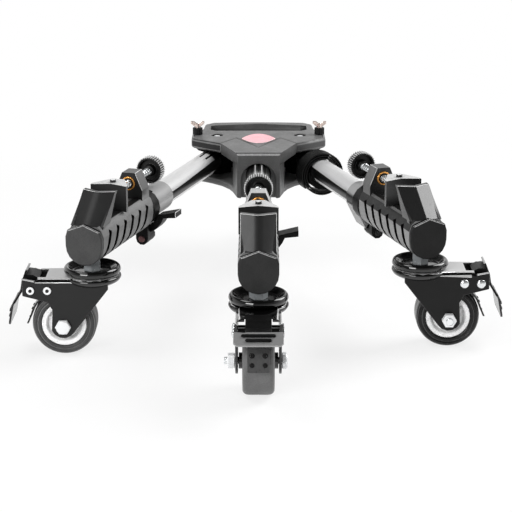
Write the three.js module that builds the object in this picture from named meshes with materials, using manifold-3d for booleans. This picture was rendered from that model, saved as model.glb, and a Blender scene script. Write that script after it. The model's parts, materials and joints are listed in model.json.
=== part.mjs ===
import * as THREE from 'three';
import { mergeVertices } from 'three/addons/utils/BufferGeometryUtils.js';
import Module from 'manifold-3d';

// A folding tripod dolly: a hub with a carry handle, three telescoping legs,
// a screw-driven V jaw for one tripod foot on each leg, and three braked swivel casters.
// Millimetres, +Z up, the front leg points to -Y. A leg's own frame has its root at the
// origin and its foot towards -Y; a caster's own frame has its swivel axis on Z and the
// wheel trailing towards -Y.

const wasm = await Module();
wasm.setup();

// Driving sizes of the whole dolly
const legReach = 442;
const leftLegAngle = THREE.MathUtils.degToRad(17.2);
const rightLegAngle = THREE.MathUtils.degToRad(17.9);
const leftExtension = 13;
const rightExtension = -13;
const sideRootAcross = 58.5;
const sideRootBack = 98;
const frontRootBack = 0;
const legRise = 28.9;
const wheelRadius = 37.5;

// Clearances and shared values
const clearance = 0.3;
const slidingClearance = 0.4;
const overrun = 1;
const turnSegments = 16;
const smallSegments = 10;

// Telescoping tube with three keyways along its top, and the sleeve it slides in
const tube = {
  radius: 16,
  wall: 2,
  endSetback: 97,
  keyDepth: 1.2,
  keyHalfAngle: THREE.MathUtils.degToRad(5),
  keySpread: THREE.MathUtils.degToRad(32),
};
const sleeve = {
  wall: 2.6,
  startSetback: 248,
  engagement: 68,
};

// Ribbed leg housing with its clamp post and fixed jaw
const housing = {
  startSetback: 141,
  endReach: 17,
  halfWidth: 22.5,
  roundDrop: 1.5,
  sideRise: 9.5,
  shoulderHalfWidth: 19.7,
  shoulderRise: 17.5,
  deckHalfWidth: 15,
  deckRise: 21.5,
  boreEndWall: 5,
};
const ribSlot = {
  count: 6,
  firstSetback: 114,
  pitch: 23.4,
  width: 5,
  depth: 2.2,
  top: 14,
  bottom: -25.5,
  lean: THREE.MathUtils.degToRad(-25),
};
const deckGroove = { halfWidth: 5, depth: 1.4, startSetback: 116, endSetback: 6 };
const post = {
  length: 23,
  topHalfWidth: 8.7,
  footHalfWidth: 17.5,
  shoulderRise: 32.5,
  topRise: 53.5,
};
const fixedJaw = {
  halfWidth: 20,
  foldDepth: 6,
  thickness: 4.5,
  topRise: 53.5,
  topSetback: 35,
  gussetThickness: 3,
  gussetFootSetback: 22,
};

// Tripod-foot clamp: screw, knob, threaded insert and moving jaw
const screw = {
  rise: 40.5,
  radius: 4,
  knobRadius: 17.5,
  knobThickness: 13,
  knobSetback: 193,
  knobRecessRadius: 13.4,
  knobRecessDepth: 6.5,
  knobHubRadius: 7,
  knurlDepth: 1.2,
  knurlCount: 16,
};
const insert = { radius: 8.5, lip: 2 };
const movingJaw = {
  restSetback: 54,
  halfWidth: 22.5,
  foldDepth: 8,
  thickness: 5,
  topRise: 50.5,
  flangeThickness: 3,
  tailHalfWidth: 8,
  tailLength: 32,
  bossHalfWidth: 9,
  bossLength: 16,
  bossDrop: 9.5,
};

// End cap of the housing
const endCap = {
  thickness: 6.5,
  peakRise: 25,
  edgeBevel: 1,
  plugRadius: 15,
  plugLength: 3.5,
};

// Flip lock: band round the sleeve and its lever
const lockBand = {
  startSetback: 165,
  width: 20,
  wall: 3.8,
  pivotAcross: 5,
  pivotDrop: 37,
  earRadius: 8,
  earWidth: 9,
  slit: 2.4,
};
const lever = {
  pinRadius: 3,
  bossRadius: 7.5,
  armGap: 0.8,
  armThickness: 9,
  armWidth: 22,
  armSetback: 174,
  sweepStart: THREE.MathUtils.degToRad(-68),
  sweepEnd: THREE.MathUtils.degToRad(-18),
  sweepSteps: 5,
  tipAcross: 47.5,
  tipRise: -1.5,
  tipThickness: 7,
};

// Swivel raceway fixed under the housing
const raceway = {
  radius: 33.4,
  rimTop: 104.6,
  rimWaist: 99.6,
  floorTop: 98,
  bottom: 94.6,
  rimBottomRadius: 30.9,
  lipRadius: 27.9,
  dishRadius: 22.4,
  nutRadius: 10.5,
  stemRadius: 6,
  stemBite: 6,
  kingpinRadius: 8,
  kingpinHeadRadius: 11,
  kingpinHeadThickness: 3,
};

// Caster fork, measured from the swivel axis (trail outwards, height from the floor)
const fork = {
  plateThickness: 3,
  outerHalfWidth: 25.3,
  trail: 33,
  crownThickness: 5.8,
  crownRadius: 32.4,
  crownReach: 62,
  notchHalfWidth: 15,
  notchStart: 53,
  topChamfer: 4.5,
  topChamferStart: 21,
  footRadius: 14.6,
  footStart: THREE.MathUtils.degToRad(-149.4),
  footEnd: THREE.MathUtils.degToRad(-22.5),
  footEdge: 45,
  footEdgeTop: 57,
  armUnderStart: 50,
  armUnderStartHeight: 66.5,
  armEnd: 79,
  armEndLow: 74,
  armEndHigh: 95,
  armTopStart: 64,
  armTopStartHeight: 92,
  rearTop: -20,
  rearTopHeight: 82,
  pinRadius: 3,
  rivetRadius: 4.9,
  rivetHeight: 2,
  pedalPinTrail: 69.4,
  shoePinTrail: 49.9,
  pinHeight: 81,
};
const wheel = {
  width: 35,
  segments: 32,
  shoulder: 4.5,
  rimRadius: 26.5,
  rimInset: 1.2,
  rimLipWidth: 6,
  dishDepth: 5,
  hubRadius: 9,
  hubWidth: 43,
};
const axle = {
  radius: 4,
  headRadius: 9.2,
  headThickness: 6,
  nutRadius: 8.6,
  nutThickness: 8,
  endBeyondNut: 4,
};
const hexSides = 6;

// Brake pedal, drawn pressed down; the outline is measured from its pin
const pedal = {
  plateThickness: 2.4,
  spineHalfWidth: 14,
  treadHalfWidth: 26.2,
  treadCorner: 4,
  barrelRadius: 6.5,
  lipTrail: 5.5,
  lipRise: 20,
  neckTrail: 10.4,
  neckRise: 7,
  waistTrail: 12.5,
  waistRise: -5,
  bendTrail: 21.6,
  bendRise: -19.6,
  tipTrail: 25.6,
  tipRise: -40.5,
  blockBack: -9,
  blockLow: 4,
  blockBackHigh: 11.3,
  blockTopTrail: -2,
  blockHigh: 15.4,
  ridgeHeight: 1.6,
  ridgeWidth: 3,
  ridgeHalfLengths: [17.7, 13.4],
  ridgeShares: [0.34, 0.72],
  raisedAngle: THREE.MathUtils.degToRad(62),
};
const shoe = {
  halfWidth: 12,
  thickness: 2.2,
  gap: 1,
  topAngle: THREE.MathUtils.degToRad(62),
  endAngle: THREE.MathUtils.degToRad(14),
  steps: 4,
  flareTrail: 76,
  flareHeight: 36.5,
  eyeRadius: 4.4,
  releasedAngle: THREE.MathUtils.degToRad(10),
};

// Hub: heights from the legs' axes, plan places measured from the front leg's root
const hub = {
  topRise: 31.5,
  coverRise: 17,
  bottomDrop: 31.5,
  floorDrop: 21.5,
  faceFront: -21,
  faceHalfWidth: 29,
  seamGap: 0.6,
  seamCornerAcross: 52,
  seamCornerBack: 43,
  notchAcross: 31,
  notchBack: 77,
  vTipBack: 17,
  lobeMidAcross: 72.5,
  lobeMidBack: 57.5,
  lobeAcross: 94,
  lobeFrontBack: 77,
  lobeRearBack: 122,
  lobeRearAcross: 89,
  waistBack: 140,
  shoulderAcross: 80,
  handleBack: 189,
  handleBow: 4,
  handleHalfLength: 66,
  handleCornerAcross: 78,
  handleCornerBack: 172,
  slotFrontBack: 127,
  slotDepth: 40,
  slotHalfLength: 69,
  slotCorner: 8,
  edgeBevel: 2.5,
  coreHalfWidth: 24,
  coreRearBack: 126,
  rearWallHalfWidth: 42,
  rearWallThickness: 3,
  cheekHalfWidth: 35,
  cheekBack: 48,
  postInner: 70.5,
  postOuter: 78,
  postFrontBack: 131,
  postRearBack: 146,
  floorCornerAcross: 84,
  floorArcSteps: 5,
  floorArcSag: 10,
  floorLobeSlope: 10,
  socketDepth: 30,
  archRecess: 7,
  archRadius: 23,
};
const knuckle = {
  eyeRadius: 20,
  flangeRadius: 29.5,
  flangeThickness: 4.2,
  sideGap: 1,
  plugLength: 30,
};
const pivotPin = { radius: 5.5, headRadius: 8, headHeight: 3.4, recessDepth: 5.5 };
const badge = { halfAcross: 23.5, halfDeep: 30, fullness: 13, thickness: 1.6, stand: 0.5, back: 73 };
const thumbScrew = {
  across: 86,
  back: 100,
  shankRadius: 3,
  bossRadius: 7,
  bossHeight: 10,
  bossLobes: 12,
  bossLobeDepth: 0.9,
  neckRadius: 3.6,
  neckHeight: 2,
  wingHalfSpan: 9.5,
  wingThickness: 4,
  wingHeight: 7,
  wingWaistRise: 3.5,
};
const strap = {
  place: 84,
  width: 25,
  innerRadius: 21,
  thickness: 2.2,
  turnGap: 0.9,
  turns: 2.6,
  stepsPerTurn: 20,
};

// Places along a leg, measured outwards from its root to agree with the swivel axis
const sleeveStart = legReach - sleeve.startSetback;
const knobCentre = legReach - screw.knobSetback;
const leverStart = legReach - lever.armSetback;
const lockBandStart = legReach - lockBand.startSetback;
const housingStart = legReach - housing.startSetback;
const ribSlotFirst = legReach - ribSlot.firstSetback;
const deckGrooveStart = legReach - deckGroove.startSetback;
const deckGrooveEnd = legReach - deckGroove.endSetback;
const movingJawPlace = legReach - movingJaw.restSetback;
const tubeEnd = legReach - tube.endSetback;
const housingEnd = legReach + housing.endReach;

// Heights from the floor that follow the casters
const legAxisHeight = raceway.rimTop + legRise;
const hubTop = legAxisHeight + hub.topRise;
const coverUnderside = legAxisHeight + hub.coverRise;
const hubFloorTop = legAxisHeight - hub.floorDrop;
const hubBottom = legAxisHeight - hub.bottomDrop;

// Geometry helpers
function plane(points) {
  return new THREE.Shape(points.map(([a, b]) => new THREE.Vector2(a, b)));
}

function basis(geometry, xTo, yTo, zTo) {
  const turn = new THREE.Matrix4().makeBasis(xTo, yTo, zTo);
  return geometry.applyMatrix4(turn);
}

const alongX = new THREE.Vector3(1, 0, 0);
const alongY = new THREE.Vector3(0, 1, 0);
const alongZ = new THREE.Vector3(0, 0, 1);
const backX = alongX.clone().negate();
const backY = alongY.clone().negate();
const backZ = alongZ.clone().negate();

function extrude(shape, depth, bevel = 0) {
  const options = {
    depth: depth - 2 * bevel,
    bevelEnabled: bevel > 0,
    bevelThickness: bevel,
    bevelSize: bevel,
    bevelOffset: -bevel,
    bevelSegments: 1,
    curveSegments: smallSegments,
  };
  return new THREE.ExtrudeGeometry(shape, options).translate(0, 0, bevel);
}

// Prism on an (x, z) outline, from y = -start outwards
function prismOutwards(outline, start, length, bevel = 0) {
  const shape = outline instanceof THREE.Shape ? outline : plane(outline);
  const prism = basis(extrude(shape, length, bevel), alongX, alongZ, backY);
  return prism.translate(0, -start, 0);
}

// Prism on an (x, y) outline, from the height `low` upwards
function prismUp(outline, low, height, bevel = 0) {
  const shape = outline instanceof THREE.Shape ? outline : plane(outline);
  return extrude(shape, height, bevel).translate(0, 0, low);
}

// Prism on a (trail, z) outline, across a caster from x = -halfWidth
function prismAcross(outline, halfWidth) {
  const shape = outline instanceof THREE.Shape ? outline : plane(outline);
  const prism = basis(extrude(shape, 2 * halfWidth), backY, alongZ, backX);
  return prism.translate(halfWidth, 0, 0);
}

function latheUp(profile, segments = turnSegments) {
  const points = profile.map(([radius, height]) => new THREE.Vector2(radius, height));
  return basis(new THREE.LatheGeometry(points, segments), alongX, alongZ, backY);
}

// Profile of [radius, distance outwards]
function latheOutwards(profile, segments = turnSegments) {
  const points = profile.map(([radius, distance]) => new THREE.Vector2(radius, distance));
  return basis(new THREE.LatheGeometry(points, segments), alongX, backY, backZ);
}

function latheAcross(profile, segments = turnSegments) {
  const points = profile.map(([radius, across]) => new THREE.Vector2(radius, across));
  return basis(new THREE.LatheGeometry(points, segments), backY, alongX, alongZ);
}

function rodUp(radius, low, high, segments = turnSegments) {
  return latheUp([[0, low], [radius, low], [radius, high], [0, high]], segments);
}

function rodOutwards(radius, start, end, segments = turnSegments) {
  return latheOutwards([[0, start], [radius, start], [radius, end], [0, end]], segments);
}

function rodAcross(radius, low, high, segments = smallSegments) {
  return latheAcross([[0, low], [radius, low], [radius, high], [0, high]], segments);
}

function box(xLow, xHigh, yLow, yHigh, zLow, zHigh) {
  const block = new THREE.BoxGeometry(xHigh - xLow, yHigh - yLow, zHigh - zLow);
  return block.translate((xLow + xHigh) / 2, (yLow + yHigh) / 2, (zLow + zHigh) / 2);
}

function arc(centreX, centreY, radius, from, to, steps) {
  return Array.from({ length: steps + 1 }, (_, step) => {
    const angle = from + ((to - from) * step) / steps;
    return [centreX + radius * Math.cos(angle), centreY + radius * Math.sin(angle)];
  });
}

function signedVolume(geometry) {
  const place = geometry.getAttribute('position');
  const corner = [new THREE.Vector3(), new THREE.Vector3(), new THREE.Vector3()];
  let sum = 0;
  for (let at = 0; at < geometry.index.count; at += 3) {
    corner.forEach((point, side) => point.fromBufferAttribute(place, geometry.index.getX(at + side)));
    sum += corner[0].dot(corner[1].cross(corner[2]));
  }
  return sum;
}

function solid(geometry) {
  const bare = geometry.clone();
  bare.deleteAttribute('normal');
  bare.deleteAttribute('uv');
  const welded = mergeVertices(bare, 1e-4);
  const triVerts = Uint32Array.from(welded.index.array);
  if (signedVolume(welded) < 0) {
    for (let at = 0; at < triVerts.length; at += 3) {
      [triVerts[at], triVerts[at + 1]] = [triVerts[at + 1], triVerts[at]];
    }
  }
  const vertProperties = Float32Array.from(welded.getAttribute('position').array);
  return new wasm.Manifold(new wasm.Mesh({ numProp: 3, vertProperties, triVerts }));
}

function union(...geometries) {
  return geometries.map(solid).reduce((whole, piece) => whole.add(piece));
}

function cut(body, ...geometries) {
  return geometries.map(solid).reduce((whole, piece) => whole.subtract(piece), body);
}

function meshGeometry(body) {
  const mesh = body.getMesh();
  const geometry = new THREE.BufferGeometry();
  geometry.setAttribute('position', new THREE.BufferAttribute(mesh.vertProperties, 3));
  geometry.setIndex(new THREE.BufferAttribute(mesh.triVerts, 1));
  geometry.computeVertexNormals();
  return geometry;
}

// Finishes
const finishes = {
  moulded: { color: 0x2b2b2d, roughness: 0.62, metalness: 0 },
  capBlack: { color: 0x232325, roughness: 0.55, metalness: 0 },
  anodised: { color: 0xb9babc, roughness: 0.38, metalness: 0.85 },
  blackSteel: { color: 0x121214, roughness: 0.28, metalness: 0.4 },
  zinc: { color: 0xd2d3d4, roughness: 0.25, metalness: 1 },
  brass: { color: 0xc98b3c, roughness: 0.3, metalness: 1 },
  tyre: { color: 0x3a3a3c, roughness: 0.7, metalness: 0 },
  whitePlastic: { color: 0xf0f0f0, roughness: 0.45, metalness: 0 },
  greySteel: { color: 0x77787a, roughness: 0.4, metalness: 0.8 },
  inlay: { color: 0xd9707c, roughness: 0.4, metalness: 0 },
  webbing: { color: 0x151516, roughness: 0.95, metalness: 0 },
};

function part(name, body, finish) {
  const geometry = body instanceof THREE.BufferGeometry ? body : meshGeometry(body);
  const mesh = new THREE.Mesh(geometry, new THREE.MeshStandardMaterial(finishes[finish]));
  mesh.name = name;
  return mesh;
}

// Tube outline with its keyways, seen along the leg
function tubeOutline() {
  const keys = [-tube.keySpread, 0, tube.keySpread].map((offset) => Math.PI / 2 + offset);
  const points = [];
  keys.forEach((middle, index) => {
    const next = index < keys.length - 1 ? keys[index + 1] : keys[0] + 2 * Math.PI;
    const steps = index < keys.length - 1 ? 2 : turnSegments;
    const keyStart = middle - tube.keyHalfAngle;
    const keyEnd = middle + tube.keyHalfAngle;
    points.push(...arc(0, 0, tube.radius - tube.keyDepth, keyStart, keyEnd, 1));
    points.push(...arc(0, 0, tube.radius, keyEnd, next - tube.keyHalfAngle, steps));
  });
  const shape = plane(points);
  const bore = new THREE.Path();
  bore.absarc(0, 0, tube.radius - tube.keyDepth - tube.wall, 0, 2 * Math.PI, true);
  shape.holes.push(bore);
  return shape;
}

function legTube(name, start) {
  const body = prismOutwards(tubeOutline(), start, tubeEnd - start);
  return part(name, body.translate(0, 0, legAxisHeight), 'anodised');
}

const sleeveBore = tube.radius + slidingClearance;
const sleeveRadius = sleeveBore + sleeve.wall;
const sleeveEnd = housingStart + sleeve.engagement;

function legSleeve(name) {
  const ring = latheOutwards([
    [sleeveBore, sleeveStart],
    [sleeveRadius, sleeveStart],
    [sleeveRadius, sleeveEnd],
    [sleeveBore, sleeveEnd],
    [sleeveBore, sleeveStart],
  ]);
  return part(name, ring.translate(0, 0, legAxisHeight), 'anodised');
}

// Outline shared by the housing and its end cap, around the leg's axis
function housingOutline(inset, crown) {
  const half = housing.halfWidth - inset;
  const bottom = arc(0, -housing.roundDrop, half, 0, -Math.PI, smallSegments);
  const shoulderHalf = housing.shoulderHalfWidth - inset;
  return [
    [half, housing.sideRise],
    ...bottom,
    [-half, housing.sideRise],
    [-shoulderHalf, housing.shoulderRise - inset],
    ...crown,
    [shoulderHalf, housing.shoulderRise - inset],
  ];
}

function deckCrown(inset) {
  const half = housing.deckHalfWidth - inset;
  return [[-half, housing.deckRise - inset], [half, housing.deckRise - inset]];
}

function postOutline() {
  return [
    [-post.footHalfWidth, 0],
    [post.footHalfWidth, 0],
    [post.footHalfWidth, post.shoulderRise],
    [post.topHalfWidth, post.topRise],
    [-post.topHalfWidth, post.topRise],
    [-post.footHalfWidth, post.shoulderRise],
  ];
}

// The fixed jaw leans back over the deck and is folded to a V along its middle
function fixedJawPlate() {
  const rise = fixedJaw.topRise - housing.deckRise;
  const length = Math.hypot(fixedJaw.topSetback, rise);
  const lean = new THREE.Vector3(0, fixedJaw.topSetback / length, rise / length);
  const outwards = new THREE.Vector3(0, -rise / length, fixedJaw.topSetback / length);
  const fold = fixedJaw.foldDepth;
  const outline = plane([
    [-fixedJaw.halfWidth, -fold],
    [0, 0],
    [fixedJaw.halfWidth, -fold],
    [fixedJaw.halfWidth, -fold - fixedJaw.thickness],
    [0, -fixedJaw.thickness],
    [-fixedJaw.halfWidth, -fold - fixedJaw.thickness],
  ]);
  const spare = rise;
  const plate = basis(extrude(outline, length + 2 * spare).translate(0, 0, -spare), backX, outwards, lean);
  plate.translate(0, -housingEnd, housing.deckRise);
  const room = box(
    -housing.halfWidth, housing.halfWidth,
    -housingEnd, -housingStart,
    housing.shoulderRise, fixedJaw.topRise,
  );
  return solid(plate).intersect(solid(room));
}

function jawGusset(side) {
  const slope = fixedJaw.topSetback / (fixedJaw.topRise - housing.deckRise);
  const topAt = -housingEnd + fixedJaw.topSetback + fixedJaw.thickness;
  const outline = plane([
    [-housingEnd + fixedJaw.thickness, housing.deckRise - overrun],
    [-housingEnd + fixedJaw.gussetFootSetback + fixedJaw.thickness, housing.deckRise - overrun],
    [topAt + fixedJaw.foldDepth, fixedJaw.topRise - fixedJaw.thickness],
    [topAt, fixedJaw.topRise - fixedJaw.thickness * slope],
  ]);
  const web = basis(extrude(outline, fixedJaw.gussetThickness), alongY, alongZ, alongX);
  const edge = side > 0 ? fixedJaw.halfWidth - fixedJaw.gussetThickness : -fixedJaw.halfWidth;
  return web.translate(edge, 0, 0);
}

function ribSlots() {
  const core = solid(prismOutwards(
    housingOutline(ribSlot.depth, deckCrown(ribSlot.depth)),
    housingStart - overrun,
    housingEnd - housingStart + 2 * overrun,
  ));
  const slabs = Array.from({ length: ribSlot.count }, (_, index) => {
    const height = ribSlot.top - ribSlot.bottom;
    const slab = new THREE.BoxGeometry(2 * (housing.halfWidth + overrun), ribSlot.width, height);
    slab.rotateX(ribSlot.lean);
    slab.translate(0, -ribSlotFirst - index * ribSlot.pitch, (ribSlot.top + ribSlot.bottom) / 2);
    return slab;
  });
  return union(...slabs).subtract(core);
}

function legHousing(name) {
  const length = housingEnd - housingStart;
  const trunk = solid(prismOutwards(housingOutline(0, deckCrown(0)), housingStart, length));
  const boreEnd = housingEnd - housing.boreEndWall;
  const postEnd = housingStart + post.length;
  const underside = -housing.halfWidth - housing.roundDrop;
  const plain = trunk
    .add(solid(prismOutwards(postOutline(), housingStart, post.length)))
    .add(fixedJawPlate())
    .add(solid(jawGusset(1)))
    .add(solid(jawGusset(-1)))
    .subtract(ribSlots());
  const body = cut(
    plain,
    rodOutwards(sleeveRadius + clearance, housingStart - overrun, sleeveEnd + clearance),
    rodOutwards(tube.radius + slidingClearance, housingStart, boreEnd),
    rodOutwards(endCap.plugRadius + clearance, boreEnd - overrun, housingEnd + overrun),
    rodOutwards(insert.radius + clearance, housingStart - overrun, postEnd + overrun, smallSegments)
      .translate(0, 0, screw.rise),
    box(
      -deckGroove.halfWidth, deckGroove.halfWidth,
      -deckGrooveEnd, -deckGrooveStart,
      housing.deckRise - deckGroove.depth, housing.deckRise + overrun,
    ),
    rodUp(
      raceway.stemRadius + clearance,
      underside - overrun,
      underside + raceway.stemBite + clearance,
    ).translate(0, -legReach, 0),
  );
  return part(name, meshGeometry(body).translate(0, 0, legAxisHeight), 'moulded');
}

function legEndCap(name) {
  const crown = [[0, endCap.peakRise]];
  const start = housingEnd + clearance;
  const body = union(
    prismOutwards(housingOutline(0, crown), start, endCap.thickness, endCap.edgeBevel),
    rodOutwards(endCap.plugRadius, start - endCap.plugLength, start + overrun),
  );
  return part(name, meshGeometry(body).translate(0, 0, legAxisHeight), 'capBlack');
}

function clampInsert(name) {
  const start = housingStart - clearance;
  const end = housingStart + post.length + insert.lip;
  const ring = latheOutwards([
    [screw.radius + clearance, start],
    [insert.radius, start],
    [insert.radius, end],
    [screw.radius + clearance, end],
    [screw.radius + clearance, start],
  ], smallSegments);
  return part(name, ring.translate(0, 0, legAxisHeight + screw.rise), 'brass');
}

function knurledOutline() {
  const points = [];
  const step = (2 * Math.PI) / screw.knurlCount;
  const valley = screw.knobRadius - screw.knurlDepth;
  for (let tooth = 0; tooth < screw.knurlCount; tooth += 1) {
    const angle = tooth * step;
    points.push(...arc(0, 0, screw.knobRadius, angle, angle + step / 3, 1));
    points.push(...arc(0, 0, valley, angle + step / 2, angle + (step * 5) / 6, 1));
  }
  return points;
}

function clampScrew(name) {
  const knobBack = knobCentre - screw.knobThickness / 2;
  const knobFront = knobCentre + screw.knobThickness / 2;
  const recessFloor = knobFront - screw.knobRecessDepth;
  const knob = cut(
    union(prismOutwards(knurledOutline(), knobBack, screw.knobThickness)),
    latheOutwards([
      [screw.knobHubRadius, recessFloor],
      [screw.knobRecessRadius, recessFloor],
      [screw.knobRecessRadius, knobFront + overrun],
      [screw.knobHubRadius, knobFront + overrun],
      [screw.knobHubRadius, recessFloor],
    ]),
  );
  const point = movingJawPlace - movingJaw.foldDepth - movingJaw.thickness - clearance;
  const rod = solid(rodOutwards(screw.radius, knobCentre, point, smallSegments));
  const body = meshGeometry(knob.add(rod));
  return part(name, body.translate(0, 0, legAxisHeight + screw.rise), 'capBlack');
}

// Moving jaw: folded plate with a top flange, a tail, a screw boss and a tongue in the deck groove
function clampMovingJaw(name) {
  const front = movingJawPlace;
  const fold = movingJaw.foldDepth;
  const low = housing.deckRise + slidingClearance;
  const platePlan = [
    [-movingJaw.halfWidth, -front],
    [0, -front + fold],
    [movingJaw.halfWidth, -front],
    [movingJaw.halfWidth, -front + movingJaw.thickness],
    [movingJaw.bossHalfWidth, -front + fold + movingJaw.thickness],
    [-movingJaw.bossHalfWidth, -front + fold + movingJaw.thickness],
    [-movingJaw.halfWidth, -front + movingJaw.thickness],
  ];
  const flangePlan = [
    [-movingJaw.halfWidth, -front],
    [0, -front + fold],
    [movingJaw.halfWidth, -front],
    [movingJaw.halfWidth, -front + movingJaw.thickness],
    [movingJaw.tailHalfWidth, -front + movingJaw.tailLength],
    [-movingJaw.tailHalfWidth, -front + movingJaw.tailLength],
    [-movingJaw.halfWidth, -front + movingJaw.thickness],
  ];
  const bossBack = -front + fold + movingJaw.bossLength;
  const body = cut(
    union(
      prismUp(platePlan, low, movingJaw.topRise - low),
      prismUp(flangePlan, movingJaw.topRise, movingJaw.flangeThickness),
      box(
        -movingJaw.bossHalfWidth, movingJaw.bossHalfWidth,
        -front + fold + overrun, bossBack,
        screw.rise - movingJaw.bossDrop, movingJaw.topRise + overrun,
      ),
      box(
        -deckGroove.halfWidth + slidingClearance, deckGroove.halfWidth - slidingClearance,
        -front + fold + overrun, -front + fold + movingJaw.thickness,
        housing.deckRise - deckGroove.depth + slidingClearance, low + overrun,
      ),
    ),
    rodOutwards(
      screw.radius + clearance,
      -bossBack - overrun,
      front - fold - movingJaw.thickness,
      smallSegments,
    ).translate(0, 0, screw.rise),
  );
  return part(name, meshGeometry(body).translate(0, 0, legAxisHeight), 'capBlack');
}

// Flip lock band: a ring with one ear under it for the lever's pin
function flipBand(name) {
  const inner = sleeveRadius + clearance;
  const outer = inner + lockBand.wall;
  const end = lockBandStart + lockBand.width;
  const ring = rodOutwards(outer, lockBandStart, end);
  const earStart = end - lockBand.earWidth;
  const ear = prismOutwards([
    [lockBand.pivotAcross - lockBand.earRadius, -inner],
    ...arc(lockBand.pivotAcross, -lockBand.pivotDrop, lockBand.earRadius, -Math.PI, 0, smallSegments / 2),
    [lockBand.pivotAcross + lockBand.earRadius, -inner],
  ], earStart, lockBand.earWidth);
  const body = cut(
    union(ring, ear),
    rodOutwards(inner, lockBandStart - overrun, end + overrun),
    rodOutwards(lever.pinRadius + clearance, earStart - overrun, end + overrun, smallSegments)
      .translate(lockBand.pivotAcross, 0, -lockBand.pivotDrop),
    box(
      -lockBand.earRadius - lockBand.slit, -lockBand.earRadius,
      -end - overrun, -lockBandStart + overrun,
      -outer - overrun, -sleeveRadius / 2,
    ),
  );
  return part(name, meshGeometry(body).translate(0, 0, legAxisHeight), 'moulded');
}

// Lever: boss on the pin, an arm bent round the band and a tip flared outwards
function flipLever(name) {
  const inner = sleeveRadius + clearance + lockBand.wall + lever.armGap;
  const outer = inner + lever.armThickness;
  const armEnd = leverStart + lever.armWidth;
  const bossEnd = lockBandStart + lockBand.width - lockBand.earWidth - clearance;
  const pivot = [lockBand.pivotAcross, -lockBand.pivotDrop];
  const arm = prismOutwards([
    [pivot[0], pivot[1] - lever.bossRadius],
    ...arc(0, 0, outer, lever.sweepStart, lever.sweepEnd, lever.sweepSteps),
    [lever.tipAcross, lever.tipRise - lever.tipThickness],
    [lever.tipAcross, lever.tipRise],
    ...arc(0, 0, inner, lever.sweepEnd, lever.sweepStart, lever.sweepSteps),
    [pivot[0], pivot[1] + lever.bossRadius],
  ], leverStart, bossEnd - leverStart);
  const paddle = prismOutwards([
    ...arc(0, 0, outer, (lever.sweepStart + lever.sweepEnd) / 2, lever.sweepEnd, 2),
    [lever.tipAcross, lever.tipRise - lever.tipThickness],
    [lever.tipAcross, lever.tipRise],
    ...arc(0, 0, inner, lever.sweepEnd, (lever.sweepStart + lever.sweepEnd) / 2, 2),
  ], bossEnd - overrun, armEnd - bossEnd + overrun);
  const pinEnd = lockBandStart + lockBand.width + overrun;
  const body = union(
    arm,
    paddle,
    rodOutwards(lever.bossRadius, leverStart, bossEnd, smallSegments).translate(pivot[0], 0, pivot[1]),
    rodOutwards(lever.pinRadius, bossEnd - overrun, pinEnd, smallSegments).translate(pivot[0], 0, pivot[1]),
  );
  return part(name, meshGeometry(body).translate(0, 0, legAxisHeight), 'moulded');
}

const housingUnderside = legAxisHeight - housing.halfWidth - housing.roundDrop;

// Upper raceway, its nut and stem above, and the kingpin that carries the fork
function casterRaceway(name) {
  const underCrown = raceway.bottom - slidingClearance - fork.crownThickness - slidingClearance;
  const nutTop = housingUnderside - clearance;
  const body = latheUp([
    [0, underCrown - raceway.kingpinHeadThickness],
    [raceway.kingpinHeadRadius, underCrown - raceway.kingpinHeadThickness],
    [raceway.kingpinHeadRadius, underCrown],
    [raceway.kingpinRadius, underCrown],
    [raceway.kingpinRadius, raceway.bottom],
    [raceway.rimBottomRadius, raceway.bottom],
    [raceway.radius, raceway.rimWaist],
    [raceway.rimBottomRadius, raceway.rimTop],
    [raceway.lipRadius, raceway.rimTop],
    [raceway.dishRadius, raceway.floorTop],
    [raceway.nutRadius, raceway.floorTop],
    [raceway.nutRadius, nutTop],
    [raceway.stemRadius, nutTop],
    [raceway.stemRadius, housingUnderside + raceway.stemBite],
    [0, housingUnderside + raceway.stemBite],
  ]);
  return part(name, body, 'blackSteel');
}

const crownTop = raceway.bottom - slidingClearance;
const crownUnderside = crownTop - fork.crownThickness;
const axleHeight = wheelRadius * Math.cos(Math.PI / wheel.segments);

// Side plate of the fork: round foot at the axle, straight rear edge, arm to the pedal pin
function forkPlateOutline() {
  return [
    [fork.rearTop, fork.rearTopHeight],
    ...arc(fork.trail, axleHeight, fork.footRadius, fork.footStart, fork.footEnd, smallSegments / 2),
    [fork.footEdge, fork.footEdgeTop],
    [fork.armUnderStart, fork.armUnderStartHeight],
    [fork.armEnd, fork.armEndLow],
    [fork.armEnd, fork.armEndHigh],
    [fork.armTopStart, fork.armTopStartHeight],
    [fork.crownReach, crownTop],
    [fork.rearTop, crownTop],
  ];
}

function forkPlate(side) {
  const plate = prismAcross(forkPlateOutline(), fork.plateThickness / 2);
  return plate.translate(side * (fork.outerHalfWidth - fork.plateThickness / 2), 0, 0);
}

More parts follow.
